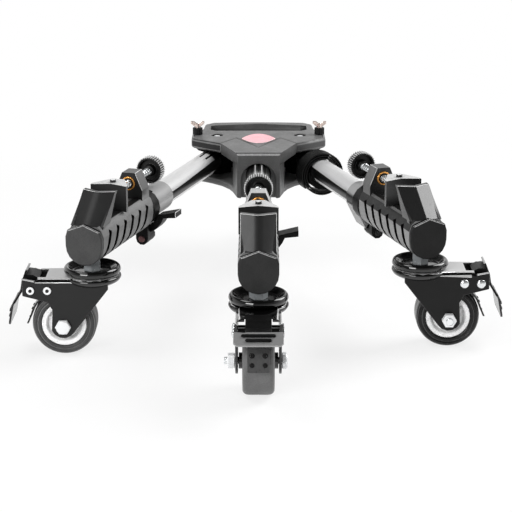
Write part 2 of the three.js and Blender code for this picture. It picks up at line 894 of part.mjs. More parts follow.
function casterFork(name) {
  const outer = fork.outerHalfWidth;
  const inner = outer - fork.plateThickness;
  const pins = [fork.pedalPinTrail, fork.shoePinTrail].flatMap((trail) => [
    rodAcross(fork.pinRadius, -inner - overrun, inner + overrun),
    rodAcross(fork.rivetRadius, outer - overrun, outer + fork.rivetHeight),
    rodAcross(fork.rivetRadius, -outer - fork.rivetHeight, -outer + overrun),
  ].map((geometry) => geometry.translate(0, -trail, fork.pinHeight)));
  const crown = latheUp([
    [0, crownUnderside],
    [fork.outerHalfWidth, crownUnderside],
    [fork.crownRadius, crownUnderside + fork.crownThickness / 2],
    [fork.crownRadius, crownTop],
    [0, crownTop],
  ]);
  const bridge = box(
    -fork.outerHalfWidth, fork.outerHalfWidth,
    -fork.crownReach, 0,
    crownTop - fork.plateThickness, crownTop,
  );
  const bends = [-1, 1].map((side) => prismOutwards([
    [side * (outer - fork.topChamfer - overrun), crownTop + overrun],
    [side * (outer + overrun), crownTop + overrun],
    [side * (outer + overrun), crownTop - fork.topChamfer - overrun],
  ], fork.topChamferStart, fork.armTopStart - fork.topChamferStart));
  const body = cut(
    union(crown, bridge, forkPlate(1), forkPlate(-1), ...pins),
    rodUp(raceway.kingpinRadius + slidingClearance, crownUnderside - overrun, crownTop + overrun),
    ...bends,
    box(
      -fork.notchHalfWidth, fork.notchHalfWidth,
      -fork.crownReach - overrun, -fork.notchStart,
      crownUnderside - overrun, crownTop + overrun,
    ),
    rodAcross(axle.radius + clearance, -fork.outerHalfWidth - overrun, fork.outerHalfWidth + overrun)
      .translate(0, -fork.trail, axleHeight),
  );
  return part(name, body, 'blackSteel');
}

function atAxle(mesh) {
  mesh.position.set(0, -fork.trail, axleHeight);
  return mesh;
}

function casterTyre(name) {
  const half = wheel.width / 2;
  const body = latheAcross([
    [wheel.rimRadius, -half],
    [wheelRadius - wheel.shoulder, -half],
    [wheelRadius, -half + wheel.shoulder],
    [wheelRadius, half - wheel.shoulder],
    [wheelRadius - wheel.shoulder, half],
    [wheel.rimRadius, half],
    [wheel.rimRadius, -half],
  ], wheel.segments);
  body.rotateX(Math.PI / wheel.segments);
  return atAxle(part(name, body, 'tyre'));
}

function casterRim(name) {
  const half = wheel.width / 2 - wheel.rimInset;
  const outer = wheel.rimRadius - clearance;
  const lip = outer - wheel.rimLipWidth;
  const hubHalf = wheel.hubWidth / 2;
  const bore = axle.radius + clearance;
  const body = latheAcross([
    [bore, -hubHalf],
    [wheel.hubRadius, -hubHalf],
    [wheel.hubRadius, -half + wheel.dishDepth],
    [lip, -half + wheel.dishDepth],
    [lip, -half],
    [outer, -half],
    [outer, half],
    [lip, half],
    [lip, half - wheel.dishDepth],
    [wheel.hubRadius, half - wheel.dishDepth],
    [wheel.hubRadius, hubHalf],
    [bore, hubHalf],
    [bore, -hubHalf],
  ]);
  return atAxle(part(name, body, 'whitePlastic'));
}

function casterAxle(name) {
  const side = fork.outerHalfWidth + clearance;
  const body = union(
    rodAcross(axle.radius, -side - axle.nutThickness - axle.endBeyondNut, side + overrun),
    rodAcross(axle.headRadius, side, side + axle.headThickness, hexSides),
    rodAcross(axle.nutRadius, -side - axle.nutThickness, -side, hexSides),
  );
  return atAxle(part(name, body, 'zinc'));
}

// Plate between two points of the pedal's side outline
function pedalPlate(from, to, halfWidth) {
  const along = new THREE.Vector2(to[0] - from[0], to[1] - from[1]).normalize();
  const half = pedal.plateThickness / 2;
  const lap = along.clone().multiplyScalar(half);
  const off = new THREE.Vector2(-along.y, along.x).multiplyScalar(half);
  const start = [from[0] - lap.x, from[1] - lap.y];
  const end = [to[0] + lap.x, to[1] + lap.y];
  return prismAcross([
    [start[0] - off.x, start[1] - off.y],
    [end[0] - off.x, end[1] - off.y],
    [end[0] + off.x, end[1] + off.y],
    [start[0] + off.x, start[1] + off.y],
  ], halfWidth);
}

function pedalRidge(share, halfLength) {
  const along = [pedal.tipTrail - pedal.bendTrail, pedal.tipRise - pedal.bendRise];
  const length = Math.hypot(...along);
  const out = [-along[1] / length, along[0] / length];
  const middle = [
    pedal.bendTrail + along[0] * share + (out[0] * pedal.ridgeHeight) / 2,
    pedal.bendRise + along[1] * share + (out[1] * pedal.ridgeHeight) / 2,
  ];
  const thickness = pedal.plateThickness + pedal.ridgeHeight;
  const ridge = new THREE.BoxGeometry(2 * halfLength, pedal.ridgeWidth, thickness);
  ridge.rotateX(Math.PI + Math.atan2(along[1], -along[0]));
  return ridge.translate(0, -middle[0], middle[1]);
}

// Wedge that takes a corner off the tread's tip
function treadCorner(side) {
  const reach = pedal.treadCorner;
  const edge = pedal.treadHalfWidth;
  const tip = pedal.tipRise - pedal.plateThickness / 2;
  const wedge = extrude(plane([
    [side * (edge - reach), tip - overrun],
    [side * (edge + overrun), tip - overrun],
    [side * (edge + overrun), tip + reach + overrun],
  ]), 2 * pedal.tipTrail);
  return basis(wedge, alongX, alongZ, backY);
}

function brakePedal(name, raised) {
  const barrelHalf = fork.outerHalfWidth - fork.plateThickness - slidingClearance;
  const spine = pedal.spineHalfWidth;
  const body = cut(
    union(
      rodAcross(pedal.barrelRadius, -barrelHalf, barrelHalf),
      pedalPlate([pedal.lipTrail, pedal.lipRise], [pedal.neckTrail, pedal.neckRise], spine),
      pedalPlate([pedal.neckTrail, pedal.neckRise], [pedal.waistTrail, pedal.waistRise], spine),
      pedalPlate([pedal.waistTrail, pedal.waistRise], [pedal.bendTrail, pedal.bendRise], spine),
      pedalPlate([pedal.bendTrail, pedal.bendRise], [pedal.tipTrail, pedal.tipRise], pedal.treadHalfWidth),
      prismAcross([
        [pedal.blockBack, pedal.blockLow],
        [pedal.barrelRadius / 2, 0],
        [pedal.waistTrail, pedal.waistRise + pedal.plateThickness],
        [pedal.neckTrail, pedal.neckRise],
        [pedal.lipTrail, pedal.blockHigh],
        [pedal.blockTopTrail, pedal.blockHigh],
        [pedal.blockBack, pedal.blockBackHigh],
      ], spine),
      ...pedal.ridgeShares.map((share, index) => pedalRidge(share, pedal.ridgeHalfLengths[index])),
    ),
    rodAcross(fork.pinRadius + clearance, -barrelHalf - overrun, barrelHalf + overrun),
    treadCorner(1),
    treadCorner(-1),
  );
  const mesh = part(name, body, 'blackSteel');
  mesh.position.set(0, -fork.pedalPinTrail, fork.pinHeight);
  mesh.rotation.x = raised ? -pedal.raisedAngle : 0;
  return mesh;
}

// Brake shoe: spring plate from its pin down along the tread, flared at the end
function brakeShoe(name, raised) {
  const inner = wheelRadius + shoe.gap;
  const outer = inner + shoe.thickness;
  const wheelTrail = fork.trail - fork.shoePinTrail;
  const wheelRise = axleHeight - fork.pinHeight;
  const flareTrail = shoe.flareTrail - fork.shoePinTrail;
  const flareRise = shoe.flareHeight - fork.pinHeight;
  const strip = [
    ...arc(wheelTrail, wheelRise, inner, shoe.topAngle, shoe.endAngle, shoe.steps),
    [flareTrail - shoe.thickness / 2, flareRise],
    [flareTrail + shoe.thickness / 2, flareRise],
    ...arc(wheelTrail, wheelRise, outer, shoe.endAngle, shoe.topAngle, shoe.steps),
    [shoe.eyeRadius, 0],
    [-shoe.eyeRadius, 0],
  ];
  const body = cut(
    union(
      prismAcross(strip, shoe.halfWidth),
      rodAcross(shoe.eyeRadius, -shoe.halfWidth, shoe.halfWidth),
    ),
    rodAcross(fork.pinRadius + clearance, -shoe.halfWidth - overrun, shoe.halfWidth + overrun),
  );
  const mesh = part(name, body, 'greySteel');
  mesh.position.set(0, -fork.shoePinTrail, fork.pinHeight);
  mesh.rotation.x = raised ? -shoe.releasedAngle : 0;
  return mesh;
}

function caster(side, raised) {
  const group = new THREE.Group();
  group.add(
    casterFork(`${side}_caster_fork`),
    casterTyre(`${side}_caster_tyre`),
    casterRim(`${side}_caster_rim`),
    casterAxle(`${side}_caster_axle`),
    brakePedal(`${side}_brake_pedal`, raised),
    brakeShoe(`${side}_brake_shoe`, raised),
  );
  return group;
}

function legAssembly(side, tubeStart, extension, casterTurn, raised) {
  const swivelling = caster(side, raised);
  swivelling.position.y = -legReach;
  swivelling.rotation.z = casterTurn;
  const upperRaceway = casterRaceway(`${side}_caster_raceway`);
  upperRaceway.position.y = -legReach;
  const carriage = new THREE.Group();
  carriage.position.y = -extension;
  carriage.add(
    legSleeve(`${side}_leg_sleeve`),
    legHousing(`${side}_leg_housing`),
    legEndCap(`${side}_end_cap`),
    clampInsert(`${side}_clamp_insert`),
    clampScrew(`${side}_clamp_screw`),
    clampMovingJaw(`${side}_moving_jaw`),
    flipBand(`${side}_lock_band`),
    flipLever(`${side}_lock_lever`),
    upperRaceway,
    swivelling,
  );
  const group = new THREE.Group();
  group.add(legTube(`${side}_leg_tube`, tubeStart), carriage);
  return group;
}

// Hub plan outlines, from the right half
function mirrored(half) {
  const left = half.slice().reverse().filter(([x]) => x > 0).map(([x, y]) => [-x, y]);
  return plane([...half, ...left]);
}

function coverOutline() {
  return mirrored([
    [0, hub.vTipBack],
    [hub.notchAcross, hub.notchBack],
    [hub.seamCornerAcross, hub.seamCornerBack],
    [hub.lobeMidAcross, hub.lobeMidBack],
    [hub.lobeAcross - hub.edgeBevel, hub.lobeFrontBack - hub.edgeBevel],
    [hub.lobeAcross, hub.lobeFrontBack + hub.edgeBevel],
    [hub.lobeAcross, hub.lobeRearBack - hub.edgeBevel],
    [hub.lobeRearAcross, hub.lobeRearBack + hub.edgeBevel],
    [hub.shoulderAcross, hub.waistBack],
    [hub.handleCornerAcross, hub.handleCornerBack],
    [hub.handleHalfLength, hub.handleBack - hub.handleBow],
    [hub.handleHalfLength / 2, hub.handleBack - hub.handleBow / 4],
    [0, hub.handleBack],
  ]);
}

function handSlot() {
  const front = hub.slotFrontBack;
  const back = front + hub.slotDepth;
  const corner = hub.slotCorner;
  return mirrored([
    [0, front],
    [hub.slotHalfLength - corner, front],
    [hub.slotHalfLength, front + corner],
    [hub.slotHalfLength, back - corner],
    [hub.slotHalfLength - corner, back - hub.handleBow],
    [0, back],
  ]);
}

function hubCover() {
  const thickness = hubTop - coverUnderside;
  const low = coverUnderside - overrun;
  const high = hubTop + overrun;
  const holes = [-1, 1].flatMap((side) => [
    rodUp(pivotPin.radius + clearance, low, hubTop, smallSegments)
      .translate(side * sideRootAcross, sideRootBack, 0),
    rodUp(pivotPin.headRadius + 2 * clearance, hubTop - pivotPin.recessDepth, high)
      .translate(side * sideRootAcross, sideRootBack, 0),
    rodUp(thumbScrew.shankRadius + clearance, low, high, smallSegments)
      .translate(side * thumbScrew.across, thumbScrew.back, 0),
  ]);
  const seatFloor = hubTop - badge.thickness + badge.stand - clearance;
  const inlaySeat = prismUp(badgeOutline(clearance), seatFloor, badge.thickness);
  const body = cut(
    union(prismUp(coverOutline(), coverUnderside, thickness, hub.edgeBevel)),
    prismUp(handSlot(), low, high - low),
    ...holes,
    inlaySeat.translate(0, badge.back, 0),
  );
  return part('hub_cover', body, 'moulded');
}

function badgeOutline(grow) {
  const across = badge.halfAcross + grow;
  const deep = badge.halfDeep + grow;
  const shape = new THREE.Shape();
  shape.moveTo(-across, 0);
  shape.quadraticCurveTo(-badge.fullness, -deep, 0, -deep);
  shape.quadraticCurveTo(badge.fullness, -deep, across, 0);
  shape.quadraticCurveTo(badge.fullness, deep, 0, deep);
  shape.quadraticCurveTo(-badge.fullness, deep, -across, 0);
  return shape;
}

function hubBadge() {
  const low = hubTop - badge.thickness + badge.stand;
  const body = prismUp(badgeOutline(0), low, badge.thickness);
  return part('hub_badge', body.translate(0, badge.back, 0), 'inlay');
}

const socketStart = -hub.faceFront - hub.socketDepth;

function cornerPost(side) {
  const middle = (side * (hub.postInner + hub.postOuter)) / 2;
  const half = (hub.postOuter - hub.postInner) / 2;
  return box(
    middle - half, middle + half,
    hub.postFrontBack, hub.postRearBack - overrun,
    hubBottom + overrun, coverUnderside - clearance,
  );
}

// Lower moulding: floor plate, core wall, rear posts and the front block with the front leg's socket
function hubBase() {
  const wallTop = coverUnderside - clearance;
  const bay = [hub.floorCornerAcross, hub.lobeFrontBack];
  const nose = [hub.faceHalfWidth, hub.faceFront];
  const hollow = Array.from({ length: hub.floorArcSteps - 1 }, (_, index) => {
    const share = (index + 1) / hub.floorArcSteps;
    const sag = Math.sin(Math.PI * share) * hub.floorArcSag;
    return [
      THREE.MathUtils.lerp(nose[0], bay[0], share) - sag,
      THREE.MathUtils.lerp(nose[1], bay[1], share) + sag,
    ];
  });
  const floorPlan = mirrored([
    [0, hub.faceFront],
    nose,
    ...hollow,
    bay,
    [hub.lobeAcross, hub.lobeFrontBack + hub.floorLobeSlope],
    [hub.lobeAcross, hub.lobeRearBack - hub.edgeBevel],
    [hub.lobeRearAcross, hub.lobeRearBack + hub.edgeBevel],
    [hub.lobeRearAcross - hub.edgeBevel, hub.postRearBack],
    [hub.postInner, hub.postRearBack],
    [hub.postInner - hub.edgeBevel, hub.coreRearBack],
    [0, hub.coreRearBack],
  ]);
  const corePlan = mirrored([
    [0, hub.faceFront],
    nose,
    [hub.cheekHalfWidth, hub.faceFront + hub.faceHalfWidth],
    [hub.cheekHalfWidth, hub.cheekBack],
    [hub.coreHalfWidth, hub.notchBack - hub.socketDepth / 2],
    [hub.coreHalfWidth, hub.coreRearBack - hub.rearWallThickness],
    [hub.rearWallHalfWidth, hub.coreRearBack - hub.rearWallThickness],
    [hub.rearWallHalfWidth, hub.coreRearBack],
    [0, hub.coreRearBack],
  ]);
  const blockPlan = mirrored([
    [0, hub.faceFront],
    nose,
    [hub.seamCornerAcross, hub.seamCornerBack - hub.seamGap],
    [hub.notchAcross, hub.notchBack - 2 * hub.seamGap],
    [0, hub.vTipBack - 2 * hub.seamGap],
  ]);
  const pinHole = (side) => rodUp(
    pivotPin.radius + clearance,
    hubBottom + pivotPin.recessDepth,
    hubFloorTop + overrun,
    smallSegments,
  ).translate(side * sideRootAcross, sideRootBack, 0);
  const archFoot = coverUnderside - hub.archRadius;
  const archOutline = [
    [-hub.archRadius, hubBottom - overrun],
    [hub.archRadius, hubBottom - overrun],
    ...arc(0, archFoot, hub.archRadius, 0, Math.PI, smallSegments),
  ];
  const body = cut(
    union(
      prismUp(floorPlan, hubBottom, hubFloorTop - hubBottom, hub.edgeBevel),
      prismUp(corePlan, hubBottom + overrun, wallTop - hubBottom - overrun),
      prismUp(blockPlan, wallTop - overrun, hubTop - wallTop + overrun),
      cornerPost(1),
      cornerPost(-1),
    ),
    pinHole(1),
    pinHole(-1),
    prismOutwards(archOutline, -hub.faceFront - hub.archRecess, hub.archRecess + overrun),
    rodOutwards(tube.radius + slidingClearance, socketStart, -hub.faceFront + overrun)
      .translate(0, 0, legAxisHeight),
  );
  return part('hub_base', body, 'moulded');
}

// Eye of a side leg in the hub, with the flange that its thumb screw presses on
function legKnuckle(name) {
  const low = hubFloorTop + knuckle.sideGap;
  const high = coverUnderside - knuckle.sideGap;
  const plugEnd = knuckle.flangeRadius + clearance + knuckle.plugLength;
  const boreRadius = tube.radius - tube.keyDepth - tube.wall;
  const body = cut(
    union(
      rodUp(knuckle.eyeRadius, low, high),
      rodUp(knuckle.flangeRadius, high - knuckle.flangeThickness, high),
      rodOutwards(boreRadius - clearance, 2 * pivotPin.radius, plugEnd).translate(0, 0, legAxisHeight),
    ),
    rodUp(pivotPin.radius + clearance, low - overrun, high + overrun, smallSegments),
  );
  return part(name, body, 'capBlack');
}

function legPivotPin(name, side) {
  const low = hubBottom + pivotPin.recessDepth + clearance;
  const headLow = hubTop - pivotPin.recessDepth + clearance;
  const body = latheUp([
    [0, low],
    [pivotPin.radius, low],
    [pivotPin.radius, headLow],
    [pivotPin.headRadius, headLow],
    [pivotPin.headRadius * Math.cos(Math.PI / 6), headLow + pivotPin.headHeight / 2],
    [pivotPin.headRadius / 2, headLow + pivotPin.headHeight],
    [0, headLow + pivotPin.headHeight],
  ], turnSegments);
  return part(name, body.translate(side * sideRootAcross, sideRootBack, 0), 'zinc');
}

function serratedOutline(radius, depth, lobes) {
  const step = (2 * Math.PI) / lobes;
  return Array.from({ length: 2 * lobes }, (_, index) => {
    const reach = index % 2 === 0 ? radius : radius - depth;
    return [reach * Math.cos((index * step) / 2), reach * Math.sin((index * step) / 2)];
  });
}

// Wing screw on a serrated boss, its shank down to the knuckle's flange
function hubThumbScrew(name, side) {
  const seat = hubTop + clearance;
  const shankEnd = coverUnderside - knuckle.sideGap + clearance;
  const bossTop = seat + thumbScrew.bossHeight;
  const wingLow = bossTop + thumbScrew.neckHeight;
  const span = thumbScrew.wingHalfSpan;
  const wing = prismOutwards([
    [-thumbScrew.neckRadius, wingLow - overrun],
    [thumbScrew.neckRadius, wingLow - overrun],
    [span, wingLow + thumbScrew.wingWaistRise],
    [span, wingLow + thumbScrew.wingHeight],
    [span / 2, wingLow + thumbScrew.wingHeight],
    [0, wingLow + thumbScrew.wingWaistRise],
    [-span / 2, wingLow + thumbScrew.wingHeight],
    [-span, wingLow + thumbScrew.wingHeight],
    [-span, wingLow + thumbScrew.wingWaistRise],
  ], -thumbScrew.wingThickness / 2, thumbScrew.wingThickness);
  const outline = serratedOutline(thumbScrew.bossRadius, thumbScrew.bossLobeDepth, thumbScrew.bossLobes);
  const body = union(
    prismUp(outline, seat, thumbScrew.bossHeight),
    rodUp(thumbScrew.neckRadius, bossTop - overrun, wingLow + thumbScrew.wingWaistRise, smallSegments),
    rodUp(thumbScrew.shankRadius, shankEnd, seat + overrun, smallSegments),
    wing,
  );
  const mesh = part(name, body, 'zinc');
  mesh.position.set(side * thumbScrew.across, thumbScrew.back, 0);
  return mesh;
}

// Tie strap wound loosely round the right leg's tube
function legStrap(name) {
  const pitch = strap.thickness + strap.turnGap;
  const steps = Math.round(strap.turns * strap.stepsPerTurn);
  const spiral = (radius) => Array.from({ length: steps + 1 }, (_, step) => {
    const turn = step / strap.stepsPerTurn;
    const reach = radius + pitch * turn;
    const angle = 2 * Math.PI * turn;
    return [reach * Math.cos(angle), reach * Math.sin(angle)];
  });
  const outline = [...spiral(strap.innerRadius + strap.thickness), ...spiral(strap.innerRadius).reverse()];
  const hang = strap.innerRadius - tube.radius - clearance;
  const body = prismOutwards(outline, strap.place - strap.width / 2, strap.width);
  return part(name, body.translate(0, 0, legAxisHeight - hang), 'webbing');
}

const sideTubeStart = knuckle.flangeRadius + clearance;
const frontTubeStart = socketStart + clearance;
const trailOutwards = Math.PI / 2;

const left = legAssembly('left', sideTubeStart, leftExtension, leftLegAngle - trailOutwards, false);
left.add(legKnuckle('left_leg_knuckle'));
left.position.set(-sideRootAcross, sideRootBack, 0);
left.rotation.z = -leftLegAngle;

const right = legAssembly('right', sideTubeStart, rightExtension, trailOutwards - rightLegAngle, false);
right.add(legKnuckle('right_leg_knuckle'), legStrap('right_leg_strap'));
right.position.set(sideRootAcross, sideRootBack, 0);
right.rotation.z = rightLegAngle;

const front = legAssembly('front', frontTubeStart, 0, 0, true);
front.position.set(0, frontRootBack, 0);

const dolly = new THREE.Group();
dolly.name = 'tripod_dolly';
dolly.add(
  hubCover(),
  hubBase(),
  hubBadge(),
  legPivotPin('left_pivot_pin', -1),
  legPivotPin('right_pivot_pin', 1),
  hubThumbScrew('left_thumb_screw', -1),
  hubThumbScrew('right_thumb_screw', 1),
  left,
  right,
  front,
);

// The frame's origin is under the middle of the dolly's length
dolly.updateMatrixWorld(true);
const extent = new THREE.Box3().setFromObject(dolly, true);
dolly.position.y = -(extent.min.y + extent.max.y) / 2;
dolly.updateMatrixWorld(true);

export default dolly;
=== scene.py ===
import json
import math

import bmesh
import bpy
from mathutils import Matrix, Vector


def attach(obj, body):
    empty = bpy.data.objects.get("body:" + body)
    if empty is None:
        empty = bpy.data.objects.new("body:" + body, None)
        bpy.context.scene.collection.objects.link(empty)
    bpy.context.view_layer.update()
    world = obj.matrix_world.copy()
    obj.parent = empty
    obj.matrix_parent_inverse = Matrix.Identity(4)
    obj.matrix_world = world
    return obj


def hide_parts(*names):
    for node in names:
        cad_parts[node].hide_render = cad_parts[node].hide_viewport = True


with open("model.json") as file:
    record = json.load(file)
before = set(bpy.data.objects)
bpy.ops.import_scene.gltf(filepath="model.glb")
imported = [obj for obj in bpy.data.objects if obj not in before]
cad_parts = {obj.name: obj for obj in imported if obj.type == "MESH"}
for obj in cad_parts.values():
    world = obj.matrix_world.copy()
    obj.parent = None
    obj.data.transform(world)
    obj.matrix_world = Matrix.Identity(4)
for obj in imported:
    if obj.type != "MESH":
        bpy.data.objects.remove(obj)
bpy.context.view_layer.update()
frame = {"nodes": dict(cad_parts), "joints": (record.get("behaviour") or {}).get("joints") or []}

# Sizes are in millimetres, as in the source of the solids, and become metres in mesh_piece.
# A leg's own frame has its root at the origin and its foot towards -Y.
# A caster's own frame has its swivel axis on Z and its wheel trailing towards -Y.
MM = 0.001
LEG_REACH = 442
LEG_AXIS = 133.5
SIDES = ("left", "right", "front")
JOINTS = {joint["name"]: joint for joint in frame["joints"]}


def turned_frame(origin, outwards):
    """Frame on the floor at origin whose -Y points outwards and whose Z is up."""
    x, y = outwards[:2]
    return Matrix(((-y, -x, 0, origin[0]), (x, -y, 0, origin[1]), (0, 0, 1, 0), (0, 0, 0, 1)))


def leg_origin(side):
    return [SWIVEL[side][i] - LEG_WAY[side][i] * LEG_REACH * MM for i in (0, 1)]


SWIVEL = {side: JOINTS[f"{side}_caster_swivel"]["pos_m"] for side in SIDES}
LEG_WAY = {side: JOINTS[f"{side}_telescope"]["axis"] for side in SIDES}
TRAIL_WAY = {"left": (-1, 0), "right": (1, 0), "front": (0, -1)}
# Frame of each leg's sliding part, then of its inner tube, which stays with the hub
LEG = {side: turned_frame(leg_origin(side), LEG_WAY[side]) for side in SIDES}
ROOT = {side: turned_frame(JOINTS[f"{side}_leg_fold"]["pos_m"], LEG_WAY[side]) for side in ("left", "right")}
HUB = ROOT["front"] = LEG["front"]
CASTER = {side: turned_frame(SWIVEL[side], TRAIL_WAY[side]) for side in SIDES}

# Node helpers


def add_node(tree, kind, inputs=None, **settings):
    """Adds a node; each input is a value to set or a socket to link."""
    made = tree.nodes.new(kind)
    for label, value in settings.items():
        setattr(made, label, value)
    for key, given in (inputs or {}).items():
        if hasattr(given, "links"):
            tree.links.new(given, made.inputs[key])
        elif given is not None:
            made.inputs[key].default_value = given
    return made


SOCKET = {int: "Int", float: "Float", tuple: "Color"}


def new_tree(kind, name, inputs, outputs):
    """Node group; each socket is given by its default or, where it has none, by the name of its type."""
    tree = bpy.data.node_groups.new(name, kind)
    for way, sockets in (("INPUT", inputs), ("OUTPUT", outputs)):
        for label, value in sockets.items():
            bare = isinstance(value, str)
            kind_name = "NodeSocket" + (value if bare else SOCKET[type(value)])
            socket = tree.interface.new_socket(label, in_out=way, socket_type=kind_name)
            if not bare:
                socket.default_value = value
    return tree, tree.nodes.new("NodeGroupInput").outputs, tree.nodes.new("NodeGroupOutput").inputs


def calc(tree, operation, first, second=None):
    return add_node(tree, "ShaderNodeMath", {0: first, 1: second}, operation=operation).outputs[0]


def noise(tree, vector, scale, detail, roughness=0.55):
    inputs = {"Vector": vector, "Scale": scale, "Detail": detail, "Roughness": roughness}
    return add_node(tree, "ShaderNodeTexNoise", inputs).outputs["Fac"]


def remap(tree, value, low, high, to_low, to_high):
    inputs = {"Value": value, "From Min": low, "From Max": high, "To Min": to_low, "To Max": to_high}
    return add_node(tree, "ShaderNodeMapRange", inputs).outputs["Result"]


def mix_color(tree, factor, first, second):
    return add_node(tree, "ShaderNodeMix", {0: factor, 6: first, 7: second}, data_type="RGBA").outputs[2]


def mix_shader(tree, factor, first, second):
    return add_node(tree, "ShaderNodeMixShader", {0: factor, 1: first, 2: second}).outputs[0]


def bump(tree, height, strength, distance):
    inputs = {"Height": height, "Strength": strength, "Distance": distance}
    return add_node(tree, "ShaderNodeBump", inputs).outputs["Normal"]


def stretched(tree, vector, scale):
    return add_node(tree, "ShaderNodeMapping", {"Vector": vector, "Scale": scale}).outputs["Vector"]


def colour(value):
    """A grey from one number, or the colour given."""
    return (*value, 1) if isinstance(value, tuple) else (value, value, value, 1)


# Materials: shared shader groups


def shader_group(name, inputs):
    outputs = {"Color": "Color", "Roughness": "Float", "Normal": "Vector"}
    return new_tree("ShaderNodeTree", name, inputs, outputs)


def close_group(tree, end, **results):
    for label, socket in results.items():
        tree.links.new(socket, end[label])
    return tree


def build_moulded_grain():
    """Spark-eroded moulded plastic: a fine leathery grain, cloudy colour and rubbed patches."""
    tree, start, end = shader_group("moulded_grain", {
        "Vector": "Vector", "Base": colour(0.05), "Rubbed": colour(0.1), "Gloss Low": 0.4, "Gloss High": 0.6,
    })
    place = start["Vector"]
    cloud = noise(tree, place, 34, 4)
    speck = noise(tree, place, 900, 2)
    scuff = noise(tree, place, 130, 5, 0.7)
    tone = mix_color(tree, remap(tree, scuff, 0.5, 0.78, 0, 0.55), start["Base"], start["Rubbed"])
    shade = remap(tree, cloud, 0.3, 0.7, 0.82, 1.16)
    grain = remap(tree, speck, 0.35, 0.65, 0.86, 1.14)
    inputs = {0: tone, "Scale": calc(tree, "MULTIPLY", shade, grain)}
    shaded = add_node(tree, "ShaderNodeVectorMath", inputs, operation="SCALE")
    cells = add_node(tree, "ShaderNodeTexVoronoi", {"Vector": place, "Scale": 1100})
    return close_group(
        tree, end, Color=shaded.outputs[0],
        Roughness=remap(tree, scuff, 0.3, 0.7, start["Gloss Low"], start["Gloss High"]),
        Normal=bump(tree, calc(tree, "ADD", cells.outputs["Distance"], speck), 0.22, 0.00012),
    )


# Where a tube's painted dark band of reflection and shade widens towards the root, along the leg in metres
BAND_WIDENS = (-0.2, -0.06)


def build_drawn_metal():
    """Drawn and satin-anodised tube: fine lines along the leg, faint blotches, a painted dark flank band of
    reflection and shade, and painted shade towards the root.
    """
    tree, start, end = shader_group("drawn_metal", {
        "Along": "Vector", "Bright": colour(0.7), "Dark": colour(0.02), "Band Low": -0.3, "Band High": 0.2,
        "Band High At Root": 0.2, "Band Edge": 0.03, "Gloss": 0.3, "Shade Near": 0.0, "Shade Far": 0.001,
    })
    lines = noise(tree, stretched(tree, start["Along"], (1, 0.02, 1)), 1600, 2)
    blotch = noise(tree, start["Along"], 45, 4)
    x, y, z = add_node(tree, "ShaderNodeSeparateXYZ", {0: start["Along"]}).outputs
    rise = calc(tree, "SUBTRACT", z, LEG_AXIS * MM)
    square = calc(tree, "ADD", calc(tree, "MULTIPLY", rise, rise), calc(tree, "MULTIPLY", x, x))
    sine = calc(tree, "DIVIDE", rise, calc(tree, "SQRT", square))
    low, edge = start["Band Low"], start["Band Edge"]
    high = remap(tree, y, *BAND_WIDENS, start["Band High"], start["Band High At Root"])
    above = remap(tree, sine, low, calc(tree, "ADD", low, edge), 0, 1)
    below = remap(tree, sine, calc(tree, "SUBTRACT", high, edge), high, 1, 0)
    near, far = (calc(tree, "MULTIPLY", start[label], -1.0) for label in ("Shade Near", "Shade Far"))
    shade = remap(tree, y, far, near, 0, 1)
    band = calc(tree, "MAXIMUM", calc(tree, "MULTIPLY", above, below), shade)
    bright = mix_color(tree, remap(tree, lines, 0.3, 0.7, 0, 0.16), start["Bright"], (0.42, 0.42, 0.43, 1))
    bright = mix_color(tree, remap(tree, blotch, 0.4, 0.75, 0, 0.14), bright, (0.5, 0.5, 0.52, 1))
    return close_group(
        tree, end, Color=mix_color(tree, band, bright, start["Dark"]),
        Roughness=calc(tree, "ADD", start["Gloss"], remap(tree, lines, 0.3, 0.7, -0.05, 0.07)),
        Normal=bump(tree, lines, 0.12, 0.00005),
    )


def build_coated_steel():
    """Powder or plated coat: orange peel, dust and fine scratches."""
    tree, start, end = shader_group("coated_steel", {
        "Vector": "Vector", "Base": colour(0.01), "Dust": colour(0.1), "Dusting": 0.1,
        "Gloss Low": 0.1, "Gloss High": 0.25, "Peel": 0.00012,
    })
    place = start["Vector"]
    peel = noise(tree, place, 420, 2)
    dust = noise(tree, place, 60, 6, 0.65)
    scratch = noise(tree, stretched(tree, place, (1, 0.06, 0.3)), 900, 3)
    worn = calc(tree, "MULTIPLY", remap(tree, dust, 0.45, 0.8, 0, 1), start["Dusting"])
    height = calc(tree, "ADD", peel, calc(tree, "MULTIPLY", scratch, 0.3))
    return close_group(
        tree, end, Color=mix_color(tree, worn, start["Base"], start["Dust"]),
        Roughness=remap(tree, scratch, 0.3, 0.72, start["Gloss Low"], start["Gloss High"]),
        Normal=bump(tree, height, 0.1, start["Peel"]),
    )


GRAIN = build_moulded_grain()
DRAWN = build_drawn_metal()
COATED = build_coated_steel()


def grouped(name, group, vector_input, settings, metallic=0.0, specular=0.5, coat=0.0):
    """Material whose colour, roughness and normal come from one shader group."""
    material = bpy.data.materials.new(name)
    material.use_nodes = True
    tree = material.node_tree
    place = add_node(tree, "ShaderNodeAttribute", attribute_name="own_place").outputs["Vector"]
    effect = add_node(tree, "ShaderNodeGroup", {vector_input: place, **settings}, node_tree=group)
    shader = tree.nodes["Principled BSDF"].inputs
    for result, label in (("Color", "Base Color"), ("Roughness", "Roughness"), ("Normal", "Normal")):
        tree.links.new(effect.outputs[result], shader[label])
    for label, value in (("Metallic", metallic), ("Specular IOR Level", specular), ("Coat Weight", coat)):
        shader[label].default_value = value
    return material


def moulded(name, base, rubbed, gloss=(0.38, 0.62), specular=0.5):
    return grouped(name, GRAIN, "Vector", {
        "Base": colour(base), "Rubbed": colour(rubbed), "Gloss Low": gloss[0], "Gloss High": gloss[1],
    }, specular=specular)


